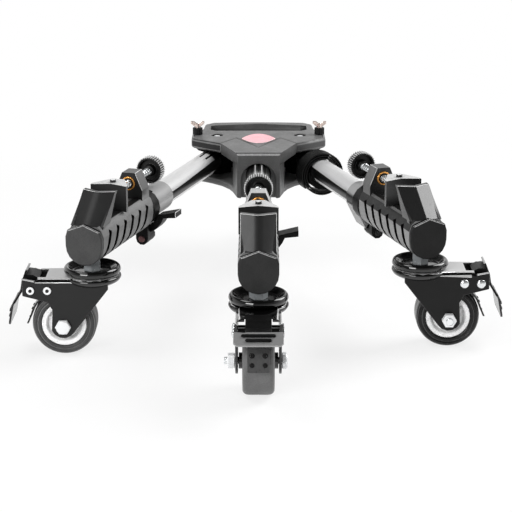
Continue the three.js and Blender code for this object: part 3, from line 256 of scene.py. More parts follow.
def coated(name, base, dust, dusting, gloss, specular=0.5, peel=0.00012, metallic=0.0, coat=0.0):
    return grouped(name, COATED, "Vector", {
        "Base": colour(base), "Dust": colour(dust), "Dusting": dusting,
        "Gloss Low": gloss[0], "Gloss High": gloss[1], "Peel": peel,
    }, metallic, specular, coat)


def drawn(name, bright, dark, band, edge, gloss, metallic, shade=(-1.0, -0.99)):
    return grouped(name, DRAWN, "Along", {
        "Bright": colour(bright), "Dark": colour(dark), "Band Low": band[0], "Band High": band[1],
        "Band High At Root": band[2], "Band Edge": edge, "Gloss": gloss,
        "Shade Near": shade[0], "Shade Far": shade[1],
    }, metallic)


def by_side(make, name, *rows):
    """One material for each of the SIDES, with a row of settings each."""
    return {side: make(f"{side}_{name}", *row) for side, row in zip(SIDES, rows)}


HUB_PLASTIC = moulded("hub_plastic", 0.15, 0.2, (0.36, 0.55))
# Painted shade for the hub's flanks and the rounded back of its handle
HUB_SHADE = moulded("hub_painted_shade", 0.06, 0.085, (0.32, 0.5))
# Matte black for joint lines and black parts, also painted as shade in hollows, slots and recesses
MATTE_BLACK_AND_SHADE = moulded("matte_black_and_painted_shade", 0.003, 0.006, (0.6, 0.8), 0.1)
# Painted highlight on the front block's rounded brow
HUB_EDGE_HIGHLIGHT = moulded("hub_edge_painted_highlight", 0.3, 0.4, (0.2, 0.32))
# Deeper painted shade for the hub's left flanks and a thin line above the front block's brow
HUB_DEEP_SHADE = moulded("hub_deep_painted_shade", 0.013, 0.02, (0.34, 0.5), 0.3)
SATIN = (0.4, 0.62)
# Rib and shoulder plastic of one kind, painted lighter or darker on each side as light falls
RIB_PLASTIC_LIT_BY_SIDE = by_side(moulded, "housing_plastic", (0.14, 0.19, SATIN), (0.26, 0.32, SATIN), (0.17, 0.23, SATIN))
SHOULDER = by_side(
    moulded, "shoulder_plastic", (0.18, 0.23, SATIN), (0.026, 0.04, (0.45, 0.65), 0.25), (0.2, 0.26, SATIN),
)
# Painted shade in the housing's slots
SLOT_SHADE = moulded("rib_slot_painted_shade", 0.002, 0.004, (0.7, 0.9), 0.05)
# Painted highlight on the right housing's deck edge
DECK_EDGE_HIGHLIGHT = moulded("housing_deck_edge_painted_highlight", 0.13, 0.17, (0.4, 0.6))
JAW_PLASTIC = by_side(
    coated, "jaw_plastic", (0.012, 0.03, 0.1, (0.4, 0.46), 0.3, 0.00003),
    (0.009, 0.02, 0.1, (0.27, 0.33), 0.55, 0.00003), (0.012, 0.03, 0.1, (0.3, 0.36), 0.5, 0.00003),
)
# Jaw and post sides painted lighter than the jaw's face as light falls on them, most on the front leg
JAW_SIDE_LIT = by_side(
    moulded, "jaw_side", (0.12, 0.17, (0.4, 0.6)), (0.12, 0.17, (0.4, 0.6)), (0.45, 0.6, (0.4, 0.6)),
)
# Painted highlight on the top edges of jaws and posts
JAW_EDGE_HIGHLIGHT = moulded("jaw_edge_painted_highlight", 0.7, 0.85, (0.3, 0.5))
CAP_GLOSS = (0.5, 0.66)
# One cap plastic, painted lighter or darker on each side as light falls
CAP_PLASTIC_LIT_BY_SIDE = by_side(
    moulded, "cap_plastic", (0.046, 0.053, CAP_GLOSS, 0.3), (0.012, 0.015, CAP_GLOSS, 0.18),
    (0.021, 0.025, CAP_GLOSS, 0.25),
)
# Painted highlight on the caps' roof-shaped top edges
CAP_EDGE_HIGHLIGHT = moulded("end_cap_painted_highlight", 0.45, 0.55, (0.3, 0.5))
LOCK_PLASTIC = moulded("flip_lock_plastic", 0.002, 0.006, (0.36, 0.5), 0.16)
LEVER_PAD = moulded("lever_pad", 0.36, 0.5, (0.5, 0.7))
# Painted highlight round the side levers' tips
LEVER_EDGE_HIGHLIGHT = moulded("lever_edge_painted_highlight", 0.7, 0.85, (0.3, 0.5))
KNOB_PLASTIC = moulded("knob_plastic", 0.003, 0.008, (0.3, 0.5), 0.3)
# Painted highlight on the black knobs' ridges
KNOB_RIDGE_HIGHLIGHT = moulded("knob_ridge_painted_highlight", 0.55, 0.7, (0.3, 0.5))
# The moving jaw's flange top, painted pale as light falling on it
FLANGE_TOP_LIT = moulded("jaw_flange_top_painted_light", 0.6, 0.7, (0.3, 0.45))
RIM_PLASTIC = moulded("wheel_rim_white", 0.98, 0.95, (0.3, 0.5))
# One tyre rubber, painted lighter or darker on each side as light falls
TYRE_RUBBER_LIT_BY_SIDE = by_side(
    moulded, "tyre_rubber", (0.05, 0.07, (0.4, 0.55), 0.35), (0.004, 0.009, (0.22, 0.34), 0.3),
    (0.11, 0.15, (0.4, 0.55), 0.45),
)
# Wall lines of the tyres painted lighter as highlights
TYRE_LINE_HIGHLIGHT = by_side(
    moulded, "tyre_line", (0.17, 0.22, (0.3, 0.4)), (0.07, 0.12, (0.2, 0.3)), (0.14, 0.2, (0.3, 0.4)),
)
STRAP_RUBBER = moulded("tie_strap", 0.003, 0.008, (0.35, 0.55), 0.22)
INLAY = moulded("badge_inlay", (0.97, 0.49, 0.54), (0.98, 0.56, 0.6), (0.3, 0.45))
INLAY_EDGE = moulded("badge_rim", (0.92, 0.78, 0.78), (0.94, 0.84, 0.84), (0.3, 0.4))
BLACK_STEEL = coated("black_steel", 0.002, 0.012, 0.15, (0.05, 0.12), coat=0.3)
# One fork plate coat, painted darker or lighter on each side as light falls
FORK_PLATE_LIT_BY_SIDE = by_side(
    coated, "fork_plate", (0.012, 0.02, 0.2, (0.3, 0.4), 0.3), (0.004, 0.009, 0.2, (0.3, 0.4), 0.25),
    (0.006, 0.014, 0.2, (0.2, 0.3), 0.4),
)
# Painted sheen on the side forks' bridge
FORK_TOP_SHEEN = coated("fork_bridge_painted_sheen", 0.58, 0.66, 0.4, (0.3, 0.4))
# Painted highlight along the bends of the fork plates
FORK_BEND_HIGHLIGHT = coated("fork_bend_painted_highlight", 0.85, 0.6, 0.3, (0.12, 0.2), metallic=0.5)
# The front pedal's plate painted grey as a reflection; the side pedals keep their black
TREAD_REFLECTION = coated("front_pedal_painted_reflection", 0.3, 0.4, 0.3, (0.12, 0.24), metallic=0.4)
PLATE_STEEL = coated("side_pedal_steel", 0.006, 0.03, 0.2, (0.1, 0.22))
RIDGE_BLACK = coated("pedal_ridge", 0.002, 0.004, 0.1, (0.3, 0.5), 0.2)
LIP_STEEL = coated("pedal_lip_steel", 0.5, 0.35, 0.4, (0.2, 0.3), metallic=0.5)
# One shoe painted grey on the front caster and near black on the side ones, as painted light and shade
SHOE_STEEL = coated("front_shoe_painted_light", 0.1, 0.04, 0.5, (0.25, 0.4), metallic=0.4)
SHOE_BLACK = coated("side_shoe_painted_shade", 0.006, 0.03, 0.2, (0.2, 0.3))
ZINC = coated("zinc_plate", (0.82, 0.84, 0.85), 0.6, 0.3, (0.1, 0.24), metallic=0.9)
ZINC_SATIN = coated("zinc_satin", (0.9, 0.91, 0.92), 0.75, 0.3, (0.35, 0.5), metallic=0.25)
ZINC_BLUE = coated("zinc_blue_passivate", (0.52, 0.55, 0.57), 0.4, 0.5, (0.15, 0.3), metallic=0.5)
BRASS = coated("insert_brass", (0.9, 0.42, 0.1), (0.5, 0.2, 0.05), 0.4, (0.15, 0.3), metallic=0.8)
WING_METAL = coated("wing_screw_nickel", (0.8, 0.68, 0.62), (0.4, 0.25, 0.2), 0.5, (0.1, 0.22), metallic=1.0)
PIN_RED = coated("lever_pin_copper", (0.16, 0.08, 0.08), 0.1, 0.3, (0.3, 0.45), metallic=0.6)
EYE_BROWN = coated("rivet_eye", (0.2, 0.15, 0.13), 0.1, 0.3, (0.2, 0.35), metallic=0.5)
DARK_STEEL = coated("black_screw", 0.02, 0.1, 0.3, (0.2, 0.35), metallic=0.5)
# The painted dark band of reflection and shade on a tube lies between two sines of the angle round it, the second
# also as it is near the root
SIDE_BAND = (-0.42, 0.3, 0.5)
NO_BAND = (-2, -1.9, -1.9)
SOFT_BAND = (-0.95, 0.0, 0.0)
# Tubes painted brighter or darker on each side as light falls, with the painted dark band and painted shade where
# they go under the hub
TUBE_METAL_PAINTED_SHADE = by_side(
    drawn, "tube_anodised", (0.78, 0.003, SIDE_BAND, 0.03, 0.34, 0.3, (0.051, 0.056)),
    (0.72, 0.003, SIDE_BAND, 0.03, 0.34, 0.3, (0.051, 0.056)),
    (0.6, 0.003, SIDE_BAND, 0.03, 0.34, 0.3, (0.05, 0.085)),
)
# Painted highlight on two ridges of the front tube
TUBE_RIDGE_HIGHLIGHT = drawn("tube_ridge_painted_highlight", 0.9, 0.5, NO_BAND, 0.03, 0.3, 0.4)
# Sleeves with a painted dark band of reflection and shade, darkest on the right leg
SLEEVE_METAL_PAINTED_SHADE = by_side(
    drawn, "sleeve_anodised", (0.36, 0.05, SOFT_BAND, 0.5, 0.4, 0.3),
    (0.42, 0.003, (-0.5, 0.42, 0.42), 0.2, 0.4, 0.3), (0.36, 0.05, SOFT_BAND, 0.5, 0.4, 0.3),
)
COLLAR_METAL = drawn("collar_anodised", 0.38, 0.3, NO_BAND, 0.03, 0.4, 0.3)

# Mesh building


class Shape:
    """Collects closed shells in a local frame, in millimetres, with a finish number per face."""

    def __init__(self):
        self.points = []
        self.faces = []
        self.finish = []

    def add(self, points, faces, finish=0):
        """Adds a shell with one finish, or with a list of them, one per face."""
        first = len(self.points)
        self.points.extend(Vector(point) for point in points)
        self.faces.extend([first + index for index in face] for face in faces)
        self.finish.extend(finish if isinstance(finish, list) else [finish] * len(faces))
        return self

    def lathe(self, axis, profile, at=(0, 0, 0), segments=64, finish=0):
        """Revolves [radius, along] points about an axis; a closed profile makes a ring.

        The finish is a number, or a rule that is given the middle of each side of the profile.
        """
        points, starts, faces, finishes = [], [], [], []
        ring_shaped = profile[0] == profile[-1]
        for radius, along in profile[:-1] if ring_shaped else profile:
            starts.append(len(points))
            for step in range(segments if radius > 0 else 1):
                angle = 2 * math.pi * step / segments
                flat = (radius * math.cos(angle), radius * math.sin(angle))
                points.append(self.on_axis(axis, flat, along, at))
        if ring_shaped:
            starts.append(0)
        for low, high, (radius, along), (next_radius, next_along) in zip(starts, starts[1:], profile, profile[1:]):
            picked = finish((radius + next_radius) / 2, (along + next_along) / 2) if callable(finish) else finish
            for step in range(segments):
                on = (step + 1) % segments
                face = [low + step, low + on, high + on, high + step]
                if radius <= 0:
                    face = [low, high + step, high + on]
                elif next_radius <= 0:
                    face = [low + step, low + on, high]
                faces.append(face)
                finishes.append(picked)
        return self.add(points, faces, finishes)

    @staticmethod
    def on_axis(axis, flat, along, at):
        place = {
            "X": (along, flat[0], flat[1]), "Y": (flat[0], along, flat[1]), "Z": (flat[0], flat[1], along),
        }[axis]
        return tuple(a + b for a, b in zip(place, at))

    def prism(self, axis, outline, low, high, at=(0, 0, 0), finish=0, chamfer=0.0):
        """Prism on a closed outline; chamfer takes the two rims off by that much."""
        rows = [(outline, low), (outline, high)]
        if chamfer > 0:
            small = inset_outline(outline, chamfer)
            rows = [(small, low), (outline, low + chamfer), (outline, high - chamfer), (small, high)]
        return self.skin([[self.on_axis(axis, point, along, at) for point in row] for row, along in rows], finish)

    def skin(self, rows, finish=0, ring=False):
        """Shell over rows of points, closed by a face at each end or, as a ring, by its first row."""
        count = len(rows[0])
        points = [point for row in rows for point in row]
        faces = [] if ring else [list(range(count)), list(range(len(points) - count, len(points)))]
        for row in range(len(rows) if ring else len(rows) - 1):
            low, high = row * count, (row + 1) % len(rows) * count
            for step in range(count):
                on = (step + 1) % count
                faces.append([low + step, low + on, high + on, high + step])
        return self.add(points, faces, finish)


def inset_outline(outline, amount):
    """Moves each side of a closed outline inwards by an amount."""
    ahead = outline[1:] + outline[:1]
    area = sum(x * next_y - next_x * y for (x, y), (next_x, next_y) in zip(outline, ahead))
    turn = 1 if area > 0 else -1
    moved = []
    for index, corner in enumerate(outline):
        here = Vector(corner)
        first = (here - Vector(outline[index - 1])).normalized()
        second = (Vector(ahead[index]) - here).normalized()
        normal = Vector((-first.y - second.y, first.x + second.x)) * turn
        moved.append(tuple(here + normal * (amount / max(0.2, 1 + first.dot(second)))))
    return moved


def arc(radius, start, end, steps, centre=(0, 0)):
    angles = [math.radians(start + (end - start) * step / steps) for step in range(steps + 1)]
    return [(centre[0] + radius * math.cos(angle), centre[1] + radius * math.sin(angle)) for angle in angles]


def band_outline(inner, outer, start, end, steps):
    return arc(inner, start, end, steps) + arc(outer, end, start, steps)


def dome_profile(radius, rise, base, step):
    """Quarter of an ellipse from its foot to just before its pole, and the pole."""
    quarter = [math.radians(degrees) for degrees in range(0, 90, step)]
    row = [(radius * math.cos(angle), base + rise * math.sin(angle)) for angle in quarter]
    return [(0, base)] + row + [(0, base + rise)]


def rounded_row(corners, radius, steps=3):
    """A profile with its inner corners rounded; the two end points stay sharp."""
    row = [corners[0]]
    for before, here, after in zip(corners, corners[1:], corners[2:]):
        corner = Vector(here)
        back = Vector(before) - corner
        on = Vector(after) - corner
        reach = min(radius, back.length * 0.45, on.length * 0.45)
        start = corner + back.normalized() * reach
        end = corner + on.normalized() * reach
        for step in range(steps + 1):
            share = step / steps
            row.append(tuple(start.lerp(corner, share).lerp(corner.lerp(end, share), share)))
    row.append(corners[-1])
    return row


def closed(row):
    return row + [row[0]]


def link_object(name, data):
    obj = bpy.data.objects.new(name, data)
    bpy.context.scene.collection.objects.link(obj)
    return obj


def finish_piece(name, mesh, place, body, nodes=(), sharp=38):
    """Finished object whose vertices keep their place in their own leg's or caster's frame, for its grain."""
    back = place.inverted()
    layer = mesh.attributes.new("own_place", "FLOAT_VECTOR", "POINT")
    for index, vertex in enumerate(mesh.vertices):
        layer.data[index].vector = back @ vertex.co
    obj = link_object(name, mesh)
    mesh.shade_smooth()
    mesh.set_sharp_from_angle(angle=math.radians(sharp))
    obj.modifiers.new("even_shading", "WEIGHTED_NORMAL").keep_sharp = True
    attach(obj, body)
    if nodes:
        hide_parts(*nodes)


def painted_mesh(name, bm, finishes):
    mesh = bpy.data.meshes.new(name)
    bm.to_mesh(mesh)
    bm.free()
    for material in finishes:
        mesh.materials.append(material)
    return mesh


def mesh_piece(name, shape, place, finishes, body, nodes=(), sharp=38):
    """Turns a Shape into a finished piece, in metres."""
    bm = bmesh.new()
    corners = [bm.verts.new(place @ (point * MM)) for point in shape.points]
    for face, finish in zip(shape.faces, shape.finish):
        bm.faces.new([corners[index] for index in face]).material_index = finish
    bmesh.ops.recalc_face_normals(bm, faces=bm.faces)
    finish_piece(name, painted_mesh(name, bm, finishes), place, body, nodes, sharp)


def long(edge):
    return edge.calc_length() / MM


def cad_piece(node, name, place, finishes, body, choose=None, rounds=()):
    """A merged copy of a CAD node with finishes by face; each round bevels the sharp edges its rule picks."""
    bm = bmesh.new()
    bm.from_mesh(frame["nodes"][node].data)
    bmesh.ops.remove_doubles(bm, verts=bm.verts, dist=3e-6)
    bmesh.ops.dissolve_limit(
        bm, angle_limit=math.radians(0.4), use_dissolve_boundaries=False, verts=bm.verts, edges=bm.edges,
    )
    back = place.inverted()
    turn = back.to_3x3()
    for face in bm.faces:
        face.smooth = True
        spot = back @ face.calc_center_median() / MM
        face.material_index = choose(spot, turn @ face.normal) if choose else 0

    def picked(edge, least_angle, rule):
        if len(edge.link_faces) != 2 or edge.calc_face_angle_signed(0) <= math.radians(least_angle):
            return False
        return rule is None or rule(back @ ((edge.verts[0].co + edge.verts[1].co) / 2) / MM, edge)

    for width, finish, least_angle, rule in rounds:
        bmesh.ops.bevel(
            bm, geom=[edge for edge in bm.edges if picked(edge, least_angle, rule)], offset=width * MM,
            offset_type="OFFSET", segments=2, profile=0.5, affect="EDGES", clamp_overlap=False, material=finish,
        )
    finish_piece(name, painted_mesh(name, bm, finishes), place, body, [node])


# Geometry node trees for what repeats


def pattern_tree(name, inputs):
    inputs = {"Geometry": "Geometry", "Material": "Material", **inputs}
    return new_tree("GeometryNodeTree", name, inputs, {"Geometry": "Geometry"})


def end_tree(tree, start, end, instances):
    """Every tree ends by making its instances real and giving them their material."""
    real = add_node(tree, "GeometryNodeRealizeInstances", {"Geometry": instances})
    inputs = {"Geometry": real.outputs["Geometry"], "Material": start["Material"]}
    paint = add_node(tree, "GeometryNodeSetMaterial", inputs)
    tree.links.new(paint.outputs["Geometry"], end["Geometry"])
    return tree


def build_ridge_ring():
    """Straight ridges round a knob, standing out of its rim and running along its axis."""
    tree, start, end = pattern_tree("ridge_ring", {
        "Ridges": 30, "Radius": 0.0175, "Width": 0.0015, "Depth": 0.002, "Length": 0.01,
    })
    circle = add_node(tree, "GeometryNodeMeshCircle", {"Vertices": start["Ridges"], "Radius": start["Radius"]})
    half = calc(tree, "MULTIPLY", start["Width"], 0.5)
    ridge = add_node(tree, "GeometryNodeMeshCone", {
        "Vertices": 8, "Radius Top": half, "Radius Bottom": half, "Depth": start["Length"],
    }, fill_type="NGON")
    drop = add_node(tree, "ShaderNodeCombineXYZ", {2: calc(tree, "MULTIPLY", start["Length"], -0.5)})
    centred = add_node(tree, "GeometryNodeTransform", {
        "Geometry": ridge.outputs["Mesh"], "Translation": drop.outputs[0],
    })
    where = add_node(tree, "GeometryNodeInputPosition")
    align = add_node(
        tree, "FunctionNodeAlignRotationToVector", {"Vector": where.outputs["Position"]}, axis="X", pivot_axis="Z",
    )
    flat = calc(tree, "DIVIDE", start["Depth"], start["Width"])
    scale = add_node(tree, "ShaderNodeCombineXYZ", {0: flat, 1: 1.0, 2: 1.0})
    spread = add_node(tree, "GeometryNodeInstanceOnPoints", {
        "Points": circle.outputs["Mesh"], "Instance": centred.outputs["Geometry"],
        "Rotation": align.outputs["Rotation"], "Scale": scale.outputs[0],
    })
    return end_tree(tree, start, end, spread.outputs["Instances"])


def build_head_row():
    """Round heads on given points, each standing along the point's own direction."""
    tree, start, end = pattern_tree("head_row", {
        "Sides": 28, "Radius": 0.005, "Crown Radius": 0.003, "Height": 0.002,
    })
    head = add_node(tree, "GeometryNodeMeshCone", {
        "Vertices": start["Sides"], "Radius Top": start["Crown Radius"], "Radius Bottom": start["Radius"],
        "Depth": start["Height"],
    }, fill_type="NGON")
    facing = add_node(tree, "GeometryNodeInputNamedAttribute", {"Name": "facing"}, data_type="FLOAT_VECTOR")
    align = add_node(
        tree, "FunctionNodeAlignRotationToVector", {"Vector": facing.outputs["Attribute"]}, axis="Z",
    )
    spread = add_node(tree, "GeometryNodeInstanceOnPoints", {
        "Points": start["Geometry"], "Instance": head.outputs["Mesh"], "Rotation": align.outputs["Rotation"],
    })
    return end_tree(tree, start, end, spread.outputs["Instances"])


def build_thread():
    """The raised helix of a screw thread."""
    tree, start, end = pattern_tree("screw_thread", {
        "Turns": 10.0, "Radius": 0.004, "Length": 0.02, "Crest": 0.0006,
    })
    helix = add_node(tree, "GeometryNodeCurveSpiral", {
        "Resolution": 20, "Rotations": start["Turns"], "Start Radius": start["Radius"],
        "End Radius": start["Radius"], "Height": start["Length"],
    })
    section = add_node(tree, "GeometryNodeCurvePrimitiveCircle", {"Resolution": 4, "Radius": start["Crest"]})
    sweep = add_node(tree, "GeometryNodeCurveToMesh", {
        "Curve": helix.outputs["Curve"], "Profile Curve": section.outputs["Curve"], "Fill Caps": True,
    })
    return end_tree(tree, start, end, sweep.outputs["Mesh"])


RIDGE_RING = build_ridge_ring()
HEAD_ROW = build_head_row()
THREAD = build_thread()


def grow(name, tree, values, place, body, points=()):
    """Runs a tree on its own object, with a value for each input after its geometry, and keeps the plain mesh."""
    seed = bpy.data.meshes.new(f"{name}_points")
    seed.from_pydata([tuple(Vector(point) * MM) for point, _ in points], [], [])
    if points:
        facing = seed.attributes.new("facing", "FLOAT_VECTOR", "POINT")
        for index, (_, way) in enumerate(points):
            facing.data[index].vector = way
    maker = link_object(f"{name}_maker", seed)
    modifier = maker.modifiers.new("pattern", "NODES")
    modifier.node_group = tree
    sockets = [item for item in tree.interface.items_tree if item.in_out == "INPUT"]
    for socket, value in zip(sockets[1:], values):
        modifier[socket.identifier] = value
    bpy.context.view_layer.update()
    evaluated = maker.evaluated_get(bpy.context.evaluated_depsgraph_get())
    mesh = bpy.data.meshes.new_from_object(evaluated)
    bpy.data.objects.remove(maker)
    mesh.transform(place)
    bm = bmesh.new()
    bm.from_mesh(mesh)
    bmesh.ops.recalc_face_normals(bm, faces=bm.faces)
    bm.to_mesh(mesh)
    bm.free()
    mesh.name = name
    finish_piece(name, mesh, place, body)


def shifted(place, x, y, z, turn=None):
    move = place @ Matrix.Translation(Vector((x, y, z)) * MM)
    return move @ turn if turn else move


def turned(degrees, axis="X"):
    return Matrix.Rotation(math.radians(degrees), 4, axis)


# The front pedal stands raised and its shoe hangs clear of the tyre
PEDAL_PIN = (69.4, 81)
SHOE_PIN = (49.9, 81)


def hung(side, pin, released):
    """Frame of what turns on a pin of the fork; on the front caster it is released."""
    return shifted(CASTER[side], 0, -pin[0], pin[1], turned(released if side == "front" else 0))


PEDAL = {side: hung(side, PEDAL_PIN, -62) for side in SIDES}
SHOE = {side: hung(side, SHOE_PIN, -10) for side in SIDES}

# Legs

ON_LEG = (0, 0, LEG_AXIS)
TUBE_RADIUS = 16
TUBE_BORE = 12.8
KEY_DEPTH = 1.2
KEY_HALF = 4
# The middle of each keyway and of the one after it, in degrees, and the steps of the round between them
KEYWAYS = ((58, 90, 8), (90, 122, 8), (122, 418, 72))
TUBE_END = 345
TUBE_START = {"left": 29.8, "right": 29.8, "front": -8.7}
KEYS_FROM = 72
SLEEVE = {"bore": 16.4, "radius": 19, "end": 369}
# The hub end of each sleeve stands equally far from the hub, however far the leg is drawn out
SLEEVE_START = {"left": 219, "right": 246, "front": 232}
SCREW_AXIS = LEG_AXIS + 40.5
ON_SCREW = (0, 0, SCREW_AXIS)
EAR = (5, -37)
PIN_FACE = -297.6
SLIT = (-280, -266)
TONGUE = (-278, -246.5)
# The housing's section: a half round with walls that lean in above the shoulder, its heights from the leg's axis
HOUSING_RADIUS = 22.5
HOUSING_CENTRE = -1.5
SHOULDER_RISE = 9.5
SHOULDER_LEAN = 0.35
SLOTS_FROM, SLOTS_TO = 316, 456
DECK_HALF, DECK_TOP = 15, 155
POST_FACE = 326
JAW_BACK = 417
CAP_FACE = 464


def leg_tube(side):
    """Tube whose grooves run out near its root; there the grooves, or on the front tube all but two ridges, lie in
    painted shade, and those two ridges carry a painted highlight.
    """
    outline = []
    for middle, after, steps in KEYWAYS:
        outline += arc(TUBE_RADIUS - KEY_DEPTH, middle - KEY_HALF, middle + KEY_HALF, 2)
        outline += arc(TUBE_RADIUS, middle + KEY_HALF + 1, after - KEY_HALF - 1, steps)
    plain, inner = (
        [tuple(Vector(point).normalized() * radius) for point in outline] for radius in (TUBE_RADIUS, TUBE_BORE)
    )
    low, high = -TUBE_END, -TUBE_START[side]
    rows = [
        (plain, low), (plain, -KEYS_FROM - 14), (outline, -KEYS_FROM), (outline, high), (inner, high), (inner, low),
    ]
    shape = Shape().skin([[(x, y, LEG_AXIS + z) for x, z in row] for row, y in rows], ring=True)
    # Of the faces between two rows, only those from the third row to the fourth show the grooves
    count = len(outline)
    for step in range(count):
        middle = (Vector(outline[step]) + Vector(outline[(step + 1) % count])) / 2
        turn = math.degrees(math.atan2(middle.y, middle.x))
        # Grooves near the root take painted shade; two ridges of the front tube take a painted highlight
        bright = side == "front" and (72 < turn < 77 or 103 < turn < 108)
        shaded = side != "front" and middle.length < TUBE_RADIUS - 0.3 and turn > 0
        shape.finish[2 * count + step] = 2 if bright else int(shaded)
    mesh_piece(
        f"{side}_tube", shape, ROOT[side], [TUBE_METAL_PAINTED_SHADE[side], MATTE_BLACK_AND_SHADE, TUBE_RIDGE_HIGHLIGHT],
        "hub" if side == "front" else f"{side}_leg", [f"{side}_leg_tube"], 30,
    )


def leg_sleeve(side):
    """Sleeve with a slit in its clamped end drawn as a black sheet of painted shade, and the collar's tongue that
    hangs from it; its anodising carries a painted dark band of reflection and shade.
    """
    low, high = -SLEEVE["end"], -SLEEVE_START[side]
    bore, radius = SLEEVE["bore"], SLEEVE["radius"]
    shape = Shape().lathe("Y", [
        (bore, low), (radius, low), (radius, high - 0.8), (radius - 0.25, high - 0.25),
        (radius - 0.8, high), (bore + 0.3, high), (bore, high - 0.3), (bore, low),
    ], ON_LEG, 96)
    # A black sheet over the sleeve paints the shade of its slit
    shape.prism("Y", band_outline(radius - 0.4, radius + 0.12, 62, 104, 10), *SLIT, ON_LEG, 1)
    across, rise = EAR
    tongue = (
        arc(radius - 0.5, 200, 285, 12) + [(across, rise + 8.6)] + arc(8.1, 105, 172, 6, EAR)
        + [(across - 9.4, rise + 2), (-radius - 0.1, -6.6)]
    )
    shape.prism("Y", tongue, *TONGUE, ON_LEG, 2, chamfer=0.4)
    mesh_piece(
        f"{side}_sleeve", shape, LEG[side], [SLEEVE_METAL_PAINTED_SHADE[side], MATTE_BLACK_AND_SHADE, COLLAR_METAL],
        f"{side}_carriage", [f"{side}_leg_sleeve"],
    )


def housing_finish(centre, normal):
    """Ribs and shoulders in plastic painted lighter or darker by side, slots in painted shade, a dark deck, and
    post and jaw with sides painted grey as light falls on them.
    """
    across, out, rise = abs(centre.x), -centre.y, centre.z - LEG_AXIS
    # Slot walls and floors are painted black as shade
    if SLOTS_FROM < out < SLOTS_TO and -26.5 < rise < 15:
        if abs(normal.x) < 0.05 and 0.85 < abs(normal.y) < 0.95:
            return 1
        low = rise < HOUSING_CENTRE
        depth = HOUSING_RADIUS - (math.hypot(across, rise - HOUSING_CENTRE) if low else across)
        depth -= max(0, rise - SHOULDER_RISE) * SHOULDER_LEAN
        if depth > 0.55 and (across > 8 or rise < -8):
            return 1
    if out < POST_FACE and rise > 18:
        return 2 if abs(normal.y) > 0.9 else 3
    if rise > 21:
        return 3 if abs(normal.x) > 0.8 and across > 12 else 2
    return 5 if normal.z > 0.3 and rise > 9 else 0


def front_rim(middle, edge):
    """Top and outer edges of the post and the fixed jaw, which carry a painted highlight."""
    rise = middle.z - LEG_AXIS
    return long(edge) > 6 and rise > 30 and (middle.y < -JAW_BACK or middle.y > -POST_FACE) and abs(middle.x) > 1.5


def side_rim(middle, edge):
    """On the side legs only the jaw's top edge carries the painted highlight, not its flanks."""
    return front_rim(middle, edge) and (middle.z - LEG_AXIS > 50 or middle.y > -POST_FACE)


def deck_edge(middle, edge):
    return abs(abs(middle.x) - DECK_HALF) < 0.5 and abs(middle.z - DECK_TOP) < 0.5 and long(edge) > 20


def jaw_fold(middle, edge):
    return abs(middle.x) < 1.5 and middle.y < -400 and long(edge) > 20 and middle.z - LEG_AXIS > 25


# Edges round the slots' mouths, rounded in the slots' painted shade
def slot_mouth(middle, edge):
    return {face.material_index for face in edge.link_faces} in ({0, 1}, {1, 5})


def leg_housing(side):
    rim = front_rim if side == "front" else side_rim
    rounds = [(0.4, 4, 32, rim), (0.6 if side == "right" else 6.0, 2, 5, jaw_fold), (1.1, 1, 25, slot_mouth)]
    if side == "right":
        # On the right leg the deck's rounded edge carries a painted highlight
        rounds.append((2.2, 6, 25, deck_edge))
    finishes = [
        RIB_PLASTIC_LIT_BY_SIDE[side], SLOT_SHADE, JAW_PLASTIC[side], JAW_SIDE_LIT[side], JAW_EDGE_HIGHLIGHT, SHOULDER[side], DECK_EDGE_HIGHLIGHT,
    ]
    cad_piece(
        f"{side}_leg_housing", f"{side}_housing", LEG[side], finishes,
        f"{side}_carriage", housing_finish, rounds,
    )


def end_cap(side):
    """Flat cap, lighter or darker by side as painted light, whose roof-shaped top edge carries a painted highlight
    and whose top faces are painted black as shade.
    """
    def finish(centre, normal):
        return 2 if normal.z > 0.4 and centre.z > LEG_AXIS + 10 else 0

    cad_piece(
        f"{side}_end_cap", f"{side}_cap", LEG[side], [CAP_PLASTIC_LIT_BY_SIDE[side], CAP_EDGE_HIGHLIGHT, MATTE_BLACK_AND_SHADE],
        f"{side}_carriage", finish, [
            (0.3, 1, 20, lambda middle, edge: middle.y < -CAP_FACE and middle.z > LEG_AXIS + 18),
            (0.5, -1, 20, lambda middle, edge: middle.y < -CAP_FACE and middle.z < LEG_AXIS + 18),
        ],
    )


def clamp_insert(side):
    """Threaded insert with a bright ring round a slightly sunk mouth painted black as shade."""
    front, back, mouth, bore = -POST_FACE, -300.7, 6.9, 4.3
    ring = rounded_row([(mouth, front), (8.5, front), (8.5, back), (mouth, back)], 0.6)
    shape = Shape().lathe("Y", closed(ring), ON_SCREW)
    sunk = [(bore, front + 1), (mouth + 0.1, front + 1), (mouth + 0.1, back - 0.4), (bore, back - 0.4)]
    # The sunk mouth takes black knob plastic as painted shade
    shape.lathe("Y", closed(sunk), ON_SCREW, finish=1)
    mesh_piece(
        f"{side}_insert", shape, LEG[side], [BRASS, KNOB_PLASTIC],
        f"{side}_carriage", [f"{side}_clamp_insert"],
    )


